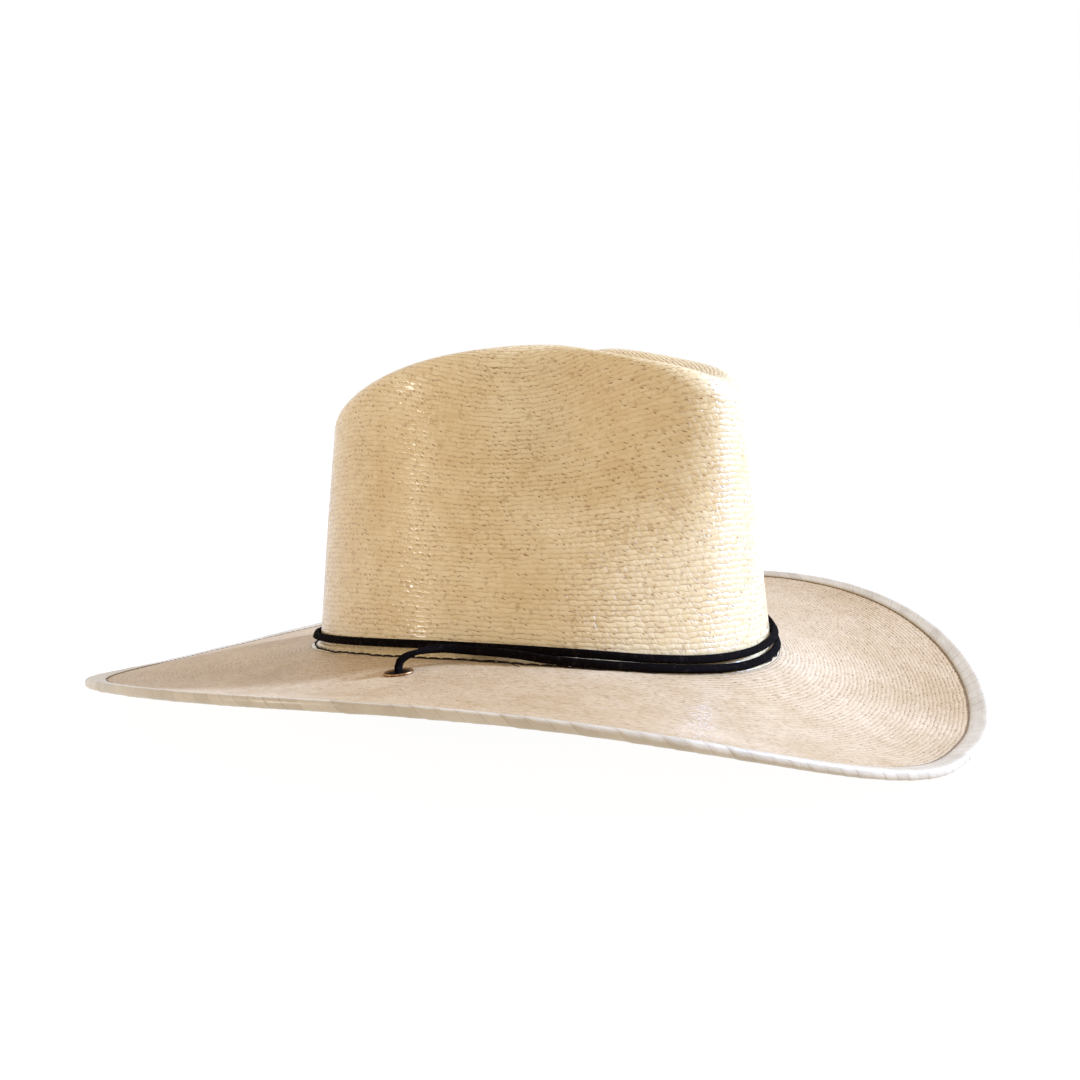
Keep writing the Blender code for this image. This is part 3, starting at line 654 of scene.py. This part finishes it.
def woven_piece(name, start, end, columns, look, under_samples, node):
    """A woven sheet with its rows as real ribs on the outer face, closed round its underside."""
    top = weave_reaches(start, end, ROW_SAMPLES)
    under = weave_reaches(start, end, under_samples)
    outer = woven_rings(top, columns, groove(top))
    inner = woven_rings(under, columns, -PALM_THICKNESS - groove(under))
    edge_uv = np.zeros((1, columns, 4, 2))
    uv = np.concatenate((strand_uv(top, columns), edge_uv,
                         strand_uv(under, columns)[::-1][:, :, [1, 0, 3, 2]]))
    if start > 0:
        rings = np.concatenate((outer, inner[::-1]))
        uv = np.concatenate((uv, edge_uv))
        mesh = ring_mesh(name, rings, uv, closed=True)
    else:
        mesh = ring_mesh(name, np.concatenate((outer, inner[::-1])), uv)
        close_middle(mesh)
    return shown(name, mesh, look, "palm", node)


# The crown and the brim are one palm weave; their different colours are painted light: the crown's
# warmer, lighter tints stand in for the warm light on its wall, the brim's darker ones make up for
# the stronger light on its top.
PALM_CROWN = palm_material(
    "palm_crown_weave", pale=(0.665, 0.487, 0.262), deep=(0.550, 0.362, 0.155),
    line_color=(0.30, 0.155, 0.045), speck_color=(0.220, 0.092, 0.020),
    line_strength=0.95, shine=0.40, relief=0.00015)
PALM_BRIM = palm_material(
    "palm_brim_weave", pale=(0.52, 0.358, 0.203), deep=(0.385, 0.242, 0.114),
    line_color=(0.22, 0.115, 0.040), speck_color=(0.140, 0.060, 0.016),
    line_strength=0.58, shine=0.16, relief=0.00011)
woven_piece("crown_weave", 0.0, CROWN_END, CROWN_COLUMNS, PALM_CROWN, (0.0,), "palm_crown")
brim_weave = woven_piece("brim_weave", CROWN_END + GAP / 2, BRIM_END, BRIM_COLUMNS, PALM_BRIM,
                         (0.0, 0.5), "palm_brim")
punch(brim_weave.data, [eyelet_seat(-1), eyelet_seat(1)], EYELET_HOLE_RADIUS)

# ---- Hem: strands folded over the edge's wire, each wrap overlapping the one before ----
WRAPS = 170
WRAP_SAMPLES = 10
WRAP_LIFT = 0.00028
# Share of a wrap in which it climbs, and way round the fold in which it slants by its own width.
WRAP_STEP = 0.12
WRAP_SLANT = 0.0068
HEM_MIDDLE = 0.0024
# Millimetres in from the edge, and up from the weave's middle; the first 29 points face outward.
HEM_SECTION = (
    (8.50, 0.74), (8.42, 0.98), (8.05, 1.16), (7.20, 1.34), (6.20, 1.48), (5.20, 1.548),
    (4.30, 1.62), (3.60, 1.70), (2.90, 1.76), (2.20, 1.78), (1.55, 1.732), (0.98, 1.588),
    (0.56, 1.24), (0.32, 0.66), (0.25, 0.00), (0.32, -0.66), (0.56, -1.24), (0.98, -1.72),
    (1.55, -2.08), (2.20, -2.20), (2.90, -2.15), (3.60, -2.00), (4.30, -1.82), (5.20, -1.66),
    (6.20, -1.56), (7.20, -1.50), (8.05, -1.42), (8.42, -1.22), (8.50, -0.74), (4.50, -0.74),
    (3.60, -1.05), (2.20, -1.35), (0.95, -0.65), (0.95, 0.65), (2.20, 1.35), (3.60, 1.05),
    (4.50, 0.74),
)
HEM_OUTSIDE = 29


def make_hem():
    """The edge folded over its wire, with strands wrapped slantwise round it."""
    section = np.array(HEM_SECTION) / 1000
    steps = np.linalg.norm(np.diff(section, axis=0, append=section[:1]), axis=1)
    travelled = np.concatenate(([0.0], np.cumsum(steps)[:-1]))
    columns = WRAPS * WRAP_SAMPLES
    turn = np.arange(columns) / columns
    wrap = turn[None, :] * WRAPS - (travelled / WRAP_SLANT)[:, None]
    size = np.random.default_rng(11).uniform(0.1, 1.0, WRAPS)[np.floor(wrap).astype(int) % WRAPS]
    part = wrap % 1
    step = np.minimum(part / WRAP_STEP, 1) * (1 - 0.75 * part)
    from_weave = HEM_WIDTH - section[1:HEM_OUTSIDE - 1, 0]
    on_outside = np.zeros(len(section))
    on_outside[1:HEM_OUTSIDE - 1] = np.clip(from_weave / 0.005, 0.15, 1)
    lift = WRAP_LIFT * on_outside[:, None] * (step * size - 0.5)
    away = section - (HEM_MIDDLE, 0.0)
    away = away / np.linalg.norm(away, axis=1, keepdims=True)
    reach = EDGE_REACH - (section[:, :1] + away[:, :1] * lift)
    height = MIDPLANE + section[:, 1:] + away[:, 1:] * lift
    angle = np.broadcast_to(turn * 2 * np.pi, reach.shape)
    points = block(reach.ravel(), angle.ravel(), height.ravel()).reshape(*reach.shape, 3)
    points[..., 2] = np.maximum(points[..., 2], 0.00002)
    after = np.concatenate((travelled[1:], [travelled[-1] + steps[-1]]))
    edge = np.arange(columns + 1) / columns * WRAPS
    low = edge[None, :] - (travelled / WRAP_SLANT)[:, None]
    high = edge[None, :] - (after / WRAP_SLANT)[:, None]
    u = np.stack((low[:, :-1], high[:, :-1], high[:, 1:], low[:, 1:]), axis=-1)
    over = np.stack((travelled, after, after, travelled), axis=-1) / WRAP_SLANT
    v = np.broadcast_to(over[:, None, :], u.shape)
    mesh = ring_mesh("hem_wrapped", points[::-1], None, closed=True)
    layer = mesh.uv_layers.new(name="pattern")
    order = np.stack((u, v), axis=-1)[::-1][:, :, [1, 0, 3, 2]]
    order = np.roll(order, -1, axis=0)
    layer.data.foreach_set("uv", order.reshape(-1).astype(np.float32))
    shown("hem_wrapped", mesh, hem_material(), "palm_hem", "brim_hem")


make_hem()

# ---- Threads and lace ----


def along_route(points, spacing):
    """Evenly spaced points along a Catmull-Rom curve through a route's own points."""
    points = np.array(points, float)
    ends = np.concatenate(([2 * points[0] - points[1]], points, [2 * points[-1] - points[-2]]))
    t = (np.arange(16) / 16)[:, None]
    pieces = []
    for a, b, c, d in zip(ends, ends[1:], ends[2:], ends[3:]):
        pieces.append(0.5 * (2 * b + (c - a) * t + (2 * a - 5 * b + 4 * c - d) * t ** 2
                             + (3 * b - a - 3 * c + d) * t ** 3))
    dense = np.concatenate((*pieces, points[-1:]))
    travelled = np.concatenate(([0.0], np.cumsum(np.linalg.norm(np.diff(dense, axis=0), axis=1))))
    spread = np.linspace(0, travelled[-1], round(travelled[-1] / spacing) + 1)
    return np.stack([np.interp(spread, travelled, dense[:, axis]) for axis in range(3)], axis=-1)


def route_length(path):
    return float(np.linalg.norm(np.diff(path, axis=0), axis=1).sum())


def sweep(name, path, section, up, closed=False, twist=None):
    """A section carried along a path. up gives the section's second axis at each point, roughly.

    The pattern's first number is the distance along the path, in metres.
    """
    count = len(path)
    before = np.roll(path, 1, axis=0)
    after = np.roll(path, -1, axis=0)
    if not closed:
        before[0] = path[0]
        after[-1] = path[-1]
    forward = after - before
    forward /= np.linalg.norm(forward, axis=1, keepdims=True)
    side = np.cross(forward, up)
    side /= np.linalg.norm(side, axis=1, keepdims=True)
    above = np.cross(side, forward)
    if twist is not None:
        cos, sin = np.cos(twist)[:, None], np.sin(twist)[:, None]
        side, above = side * cos + above * sin, above * cos - side * sin
    section = np.array(section)
    points = (path[:, None, :] + side[:, None, :] * section[None, :, :1]
              + above[:, None, :] * section[None, :, 1:])
    mesh = ring_mesh(name, points, None, closed=closed)
    rings = count if closed else count - 1
    travelled = np.arange(rings + 1) * (route_length(path) / max(count - 1, 1))
    corners = np.arange(len(section) + 1) / len(section)
    along = np.stack((travelled[:-1], travelled[1:], travelled[1:], travelled[:-1]), axis=-1)
    around_section = np.stack((corners[:-1], corners[:-1], corners[1:], corners[1:]), axis=-1)
    u = np.broadcast_to(along[:, None, :], (rings, len(section), 4))
    v = np.broadcast_to(around_section[None, :, :], (rings, len(section), 4))
    layer = mesh.uv_layers.new(name="pattern")
    layer.data.foreach_set("uv", np.stack((u, v), axis=-1).reshape(-1).astype(np.float32))
    if not closed:
        bm = bmesh.new()
        bm.from_mesh(mesh)
        bmesh.ops.holes_fill(bm, edges=[edge for edge in bm.edges if edge.is_boundary])
        bmesh.ops.recalc_face_normals(bm, faces=bm.faces)
        bm.to_mesh(mesh)
        bm.free()
    return mesh


def circle(radius, sides):
    turn = np.arange(sides) * 2 * np.pi / sides
    return np.stack((radius * np.cos(turn), radius * np.sin(turn)), axis=-1)


def stitched_ring(name, reach, stitch, radius, lift, stray, tuck, look, node, seed):
    """A line of stitches round the hat: the thread rises over each stitch and dips between.

    It strays sideways from stitch to stitch. tuck draws it in towards the crown, by five values
    from the front to the back.
    """
    girth = ring_lengths(np.array([reach]))[0]
    stitches = round(girth / stitch)
    columns = stitches * 8
    turn = np.arange(columns) / columns
    hop = np.abs(np.sin(np.pi * turn * stitches)) ** 0.5
    random = np.random.default_rng(seed)
    knots = random.normal(0, 1, stitches)
    sway = np.interp(turn * stitches, np.arange(stitches + 1), np.append(knots, knots[0])) * stray
    height = radius * 0.3 + (hop - 0.35) * lift
    path = block(reach + sway - around(tuck, turn * 2 * np.pi), turn * 2 * np.pi, height)
    up = weave_normal(np.full(columns, reach), turn * 2 * np.pi)
    mesh = sweep(name, path, circle(radius, 6), up, closed=True)
    shown(name, mesh, look, "thread", node)


def make_thread_end(look):
    """A loose end of the sweatband's thread, which lies on the brim ahead of the right eyelet."""
    share = np.linspace(0, 1, 30)
    angle = np.radians(-78 + 9 * share)
    height = 0.0004 + 0.0009 * np.sin(np.pi * share)
    path = block(SWEATBAND_SEAM + 0.0045 * share ** 1.5, angle, height)
    up = weave_normal(np.full(30, SWEATBAND_SEAM + 0.0015), angle)
    shown("thread_end", sweep("thread_end", path, circle(0.00017, 6), up), look, "thread")


SWEATBAND_SEAM = BAND_REACH + 0.0045
HEM_SEAM = EDGE_REACH - HEM_WIDTH - 0.0004
BLACK_THREAD = thread_material("black_thread", (0.022, 0.010, 0.006), 4200.0)
HEM_THREAD = thread_material("hem_thread", (0.24, 0.165, 0.11), 7000.0)
stitched_ring("sweatband_stitches", SWEATBAND_SEAM, stitch=0.0054, radius=0.00038, lift=0.00045,
              stray=0.00040, tuck=(0.0018, 0.0008, 0, 0.0017, 0.0036), look=BLACK_THREAD,
              node="sweatband_thread", seed=21)
stitched_ring("hem_stitches", HEM_SEAM, stitch=0.0034, radius=0.00012, lift=0.00030,
              stray=0.00009, tuck=(0, 0, 0, 0, 0), look=HEM_THREAD, node="hem_thread", seed=22)
make_thread_end(BLACK_THREAD)

# The lace's routes, as in the CAD part. The tails lie on the table, and end in a straight run.
CORD_STAND_OFF = CORD_RADIUS + 0.00065
TAIL_LAY = CORD_RADIUS + 0.0001
RUN_HEIGHT = 0.00365
RUN_RIGHT_X = 0.038
RUN_LEFT_X = 0.043
RUN_START_Y = 0.042
RUN_RIGHT_END_Y = -0.098
RUN_LEFT_END_Y = -0.112
RUN_LEAD_IN = 0.007
KNOT_HALF_LENGTH = 0.0042
ROUTE_SPACING = 0.0022
LACE_WIDTH = 0.0033
LACE_THICKNESS = 0.0021


def beside_crown(degrees, height, stand_off):
    """Point next to the crown's wall at a height over the band line."""
    angle = np.array([math.radians(degrees)])
    tall = around(RIDGE_HEIGHT, angle) - SHOULDER_DROP - around(BAND_RISE, angle)
    x, y, z = crown_wall(angle, height / tall * (1 - SHOULDER_SHARE))
    out_x, out_y = outward(angle)
    return (x[0] + out_x[0] * stand_off, y[0] + out_y[0] * stand_off + SHIFT_Y,
            z[0] + BAND_HEIGHT)


def eyelet_lead(side):
    """The lace through one eyelet, from under the brim up and over towards the crown's front."""
    x, y, z = eyelet_seat(side)[0]
    return [(x, y, CORD_END_HEIGHT), (x, y, z), (x - side * 0.0004, y - 0.0004, z + 0.0045),
            (x - side * 0.0050, y - 0.0032, z + 0.0070), (x - side * 0.0145, y - 0.0085, z + 0.0078)]


def lace_round_crown():
    """The lace's way round the crown: 1.4 turns, low on its first pass and above it on the second.

    Each row is the angle from the front in degrees, the height over the band line and the
    distance out from the wall. It starts at the right eyelet and passes the front first.
    """
    hug = CORD_STAND_OFF
    low = CORD_STAND_OFF + 0.0007
    way = [
        (-80, 0.0036, hug + 0.0036), (-71, 0.0034, hug + 0.0033), (-62, 0.0021, hug + 0.0025),
        (-48, 0.0014, 0.0037), (-32, 0.0009, 0.0037), (-16, 0.0006, 0.0035), (0, 0.0014, 0.0030),
        (16, 0.0024, low), (32, 0.0023, low), (48, 0.0023, low), (64, 0.0023, low),
        (80, 0.0024, low), (96, 0.0026, low), (112, 0.0029, hug + 0.0005),
        (128, 0.0032, hug + 0.0003), (144, 0.0034, hug), (160, 0.0036, hug), (176, 0.0037, hug),
        (192, 0.0038, hug), (208, 0.0040, hug), (224, 0.0040, hug), (240, 0.0038, hug),
        (256, 0.0038, hug), (272, 0.0042, hug), (288, 0.0046, hug), (304, 0.0048, hug),
        (320, 0.0043, hug), (336, 0.0042, hug), (352, 0.0055, hug), (368, 0.0070, hug),
        (384, 0.0078, hug), (400, 0.0076, hug), (414, 0.0070, hug), (428, 0.0068, hug + 0.0006),
        (440, 0.0062, hug + 0.0042),
    ]
    return [beside_crown(*row) for row in way]


def tail_right_route():
    """Right tail: down out of its eyelet, in under the crown, and back along the straight run."""
    x, y, _ = eyelet_seat(-1)[0]
    start = CORD_END_HEIGHT - GAP
    return [
        (x, y, start), (x, y, start - 0.0030), (x + 0.0030, y + 0.0004, start - 0.0062),
        (-0.100, y + 0.0020, 0.0192), (-0.084, y + 0.0070, 0.0160), (-0.066, y + 0.0150, 0.0118),
        (-0.048, y + 0.0240, 0.0075), (-0.030, y + 0.0330, 0.0040),
        (-0.012, y + 0.0430, TAIL_LAY + 0.0002), (0.004, y + 0.0520, TAIL_LAY),
        (0.019, y + 0.0560, TAIL_LAY), (0.031, y + 0.0510, TAIL_LAY + 0.0004),
        (0.0372, RUN_START_Y + 0.0010, RUN_HEIGHT - 0.0006),
    ]


def tail_left_route():
    """Left tail: down out of its eyelet to the table, and back beside the right one."""
    x, y, _ = eyelet_seat(1)[0]
    start = CORD_END_HEIGHT - GAP
    return [
        (x, y, start), (x, y, start - 0.0040), (x - 0.0025, y + 0.0008, start - 0.0095),
        (0.1030, y + 0.0040, 0.0120), (0.0950, y + 0.0110, 0.0068), (0.0850, y + 0.0220, 0.0030),
        (0.0750, y + 0.0340, TAIL_LAY), (0.0640, y + 0.0440, TAIL_LAY),
        (0.0530, y + 0.0470, TAIL_LAY + 0.0004), (0.0445, RUN_START_Y + 0.0010, RUN_HEIGHT - 0.0006),
    ]


def lace_section(width, thickness):
    """Rounded oblong, the cut edge of a suede lace."""
    turn = np.arange(16) * 2 * np.pi / 16
    x = np.sign(np.cos(turn)) * np.abs(np.cos(turn)) ** 0.55 * width / 2
    y = np.sign(np.sin(turn)) * np.abs(np.sin(turn)) ** 0.55 * thickness / 2
    return np.stack((x, y), axis=-1)


SUEDE = suede_material()


def make_wrap():
    """The lace round the crown. Its wide side lies along the wall, and turns level at the front."""
    start = eyelet_lead(-1)
    finish = eyelet_lead(1)[::-1]
    path = along_route([*start, *lace_round_crown(), *finish], ROUTE_SPACING)
    out = path * (1, 1, 0) - (0, SHIFT_Y, 0)
    out = out / np.linalg.norm(out, axis=1, keepdims=True) + (0, 0, 0.12)
    distance = np.linspace(0, route_length(path), len(path))
    from_end = np.minimum(distance, distance[-1] - distance)
    edge_on = np.clip((0.030 - from_end) / 0.015, 0, 1)
    from_front = np.arctan2(path[:, 0], SHIFT_Y - path[:, 1])
    turned_at_front = np.where(distance > distance[-1] / 2, 1.35, 0.75)
    twist = 0.18 * np.sin(distance * 14) + 0.12 * np.sin(distance * 47 + 1)
    twist = twist + math.pi / 2 * edge_on
    twist = twist + turned_at_front * np.exp(-((from_front + 0.05) / 0.40) ** 2)
    mesh = sweep("lace_round_crown", path, lace_section(LACE_WIDTH, LACE_THICKNESS), out, twist=twist)
    shown("lace_round_crown", mesh, SUEDE, "lace", "chin_cord_wrap")


def make_tail(word, route, x, end_y):
    """One tail of the lace under the hat, with its end knot."""
    run_y = RUN_START_Y - RUN_LEAD_IN
    curved = along_route([*route, (x, run_y, RUN_HEIGHT)], ROUTE_SPACING)
    run = np.linspace((x, run_y, RUN_HEIGHT), (x, end_y, RUN_HEIGHT), 60)[1:]
    path = np.concatenate((curved, run))
    up = np.tile((0.0, 0.0, 1.0), (len(path), 1))
    steep = np.clip((path[:, 2] - 0.018) / 0.006, 0, 1)
    up[:, 1] = -steep
    mesh = sweep(f"lace_tail_{word}", path, lace_section(0.0031, 0.0028), up)
    tail = shown(f"lace_tail_{word}", mesh, SUEDE, "lace", f"chin_cord_tail_{word}")
    knot = make_knot(word, x, end_y)


def make_knot(word, x, end_y):
    """An overhand knot drawn tight, as a closed trefoil."""
    t = np.linspace(0, 2 * np.pi, 72, endpoint=False)
    size = 0.00052
    centre_y = end_y - GAP - KNOT_HALF_LENGTH
    path = np.stack((x + size * (np.sin(t) + 2 * np.sin(2 * t)),
                     centre_y + 1.7 * size * (np.cos(t) - 2 * np.cos(2 * t)),
                     RUN_HEIGHT - 2.6 * size * np.sin(3 * t)), axis=-1)
    up = np.tile((0.3, 0.2, 1.0), (len(path), 1))
    mesh = sweep(f"lace_knot_{word}", path, circle(0.00135, 8), up, closed=True)
    return shown(f"lace_knot_{word}", mesh, SUEDE, "lace", f"chin_cord_knot_{word}")


make_wrap()
make_tail("right", tail_right_route(), RUN_RIGHT_X, RUN_RIGHT_END_Y)
make_tail("left", tail_left_route(), RUN_LEFT_X, RUN_LEFT_END_Y)

# ---- Eyelets, sweatband and the pieces kept from the CAD part ----


def turned(name, profile, seat, up, look, node):
    """A closed profile of (radius, height) points turned about an eyelet's axis."""
    columns = 64
    turn = np.arange(columns) * 2 * np.pi / columns
    radius, height = np.array(profile).T
    points = np.stack((radius[:, None] * np.cos(turn), radius[:, None] * np.sin(turn),
                       np.broadcast_to(height[:, None], (len(radius), columns))), axis=-1)
    mesh = ring_mesh(name, points[::-1], None, closed=True)
    vertex = np.empty(len(mesh.loops), np.int32)
    mesh.loops.foreach_get("vertex_index", vertex)
    # The pattern's first number marks the inside of the barrel, which the brass material paints near
    # black as painted shade.
    inside = np.clip((0.0052 - radius[::-1]) / 0.0006, 0, 1)[vertex // columns]
    layer = mesh.uv_layers.new(name="pattern")
    layer.data.foreach_set("uv", np.stack((inside, inside), axis=-1).ravel().astype(np.float32))
    mesh.transform(Vector((0, 0, 1)).rotation_difference(up).to_matrix().to_4x4())
    mesh.transform(Matrix.Translation(seat))
    shown(name, mesh, look, "eyelet", node)


def arc_points(centre, radius, start, end, count):
    turn = np.radians(np.linspace(start, end, count))
    return [(centre[0] + radius * math.cos(a), centre[1] + radius * math.sin(a)) for a in turn]


def make_eyelets(look):
    washer_top = -(PALM_THICKNESS + GAP)
    washer_bottom = washer_top - 0.0006
    roll_top = washer_bottom - GAP
    lip = arc_points((0.00528, 0.00042), 0.00045, -40, 150, 9)
    roll = arc_points((0.0041, roll_top - 0.0001), 0.0006, 0, -170, 8)
    eyelet = [(0.0030, -0.0009), (0.0035, -0.0006), (0.0042, 0.0001), *lip[::-1], (0.0052, 0.00012),
              (0.0046, 0.00010), (0.0040, -0.0006), (0.0036, -0.0010), (0.0036, roll_top), *roll,
              (0.0030, roll_top)]
    washer = [(0.0039, washer_top), (0.0056, washer_top), (0.0058, washer_top - 0.0002),
              (0.0058, washer_bottom + 0.0002), (0.0056, washer_bottom), (0.0039, washer_bottom)]
    for side, word in ((-1, "right"), (1, "left")):
        seat, up = eyelet_seat(side)
        turned(f"brass_eyelet_{word}", eyelet, seat, up, look, f"eyelet_{word}")
        turned(f"brass_washer_{word}", washer, seat, up, look, f"eyelet_washer_{word}")


def make_sweatband():
    """Leather band inside the head opening, with rounded edges."""
    outer = -(PALM_THICKNESS + 0.0005)
    inner = outer - 0.001
    low = BAND_REACH - 0.002
    top = low - 0.033
    inward = np.linspace(top + 0.0004, low - 0.0004, 20)
    profile = [(top, inner + 0.0003), *[(r, inner) for r in inward], (low, inner + 0.0003),
               (low, outer - 0.0003), *[(r, outer) for r in inward[::-1]], (top, outer - 0.0003)]
    reach, height = np.array(profile).T
    columns = 240
    angle = np.linspace(0, 2 * np.pi, columns, endpoint=False)
    points = block(np.repeat(reach, columns), np.tile(angle, len(reach)), np.repeat(height, columns))
    rings = points.reshape(len(reach), columns, 3)
    mesh = ring_mesh("sweatband_leather", rings[::-1], None, closed=True)
    shown("sweatband_leather", mesh, leather_material(), "sweatband", "sweatband")


make_eyelets(brass_material())
make_sweatband()
STEEL = steel_material()
for node, look in (("brim_wire", STEEL), ("wire_joiner", STEEL),
                   ("sweatband_reed", reed_material()), ("cord_slide", wood_material())):
    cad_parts[node].material_slots[0].material = look

# ---- Stage ----
LIGHT_AIM_HEIGHT = 0.08
FLOOR_REACH = 40


def light(name, kind, azimuth, elevation, distance, power, color):
    """A light that faces the hat; azimuth is turned from the camera, positive to its right."""
    data = bpy.data.lights.new(name, kind)
    data.energy = power
    data.color = color
    lamp = bpy.data.objects.new(name, data)
    away = direction(VIEW_AZIMUTH + math.radians(azimuth), math.radians(elevation))
    lamp.location = Vector((0, 0, LIGHT_AIM_HEIGHT)) + away * distance
    lamp.rotation_mode = "QUATERNION"
    lamp.rotation_quaternion = away.to_track_quat("Z", "Y")
    bpy.context.scene.collection.objects.link(lamp)
    return data


def make_lights():
    """A cool distant light from the hat's left front, and a small warm lamp for the highlight."""
    key = light("key", "SUN", 98, 24, 1.5, 15.0, (0.36, 0.54, 1.0))
    key.angle = math.radians(10)
    window = light("window", "AREA", -67, 9, 1.5, 3.4, (1.0, 0.95, 0.88))
    window.shape = "DISK"
    window.size = 0.13


def make_stage():
    """A white room and a pale floor that glows a little, so that both show white."""
    world = bpy.data.worlds.new("studio")
    bpy.context.scene.world = world
    world.use_nodes = True
    background = world.node_tree.nodes["Background"]
    background.inputs[0].default_value = (1.0, 1.0, 1.0, 1)
    background.inputs[1].default_value = 1.0
    mesh = bpy.data.meshes.new("floor")
    corners = [(x * FLOOR_REACH, y * FLOOR_REACH, 0) for x, y in ((-1, -1), (1, -1), (1, 1), (-1, 1))]
    mesh.from_pydata(corners, [], [(0, 1, 2, 3)])
    floor = bpy.data.objects.new("floor", mesh)
    paint = Shader("floor_paint")
    mesh.materials.append(paint.finish(
        Base_Color=(0.08, 0.08, 0.08), Roughness=1.0, Specular_IOR_Level=0.0,
        Emission_Color=(1.0, 1.0, 1.0), Emission_Strength=0.97))
    bpy.context.scene.collection.objects.link(floor)


make_stage()
make_lights()
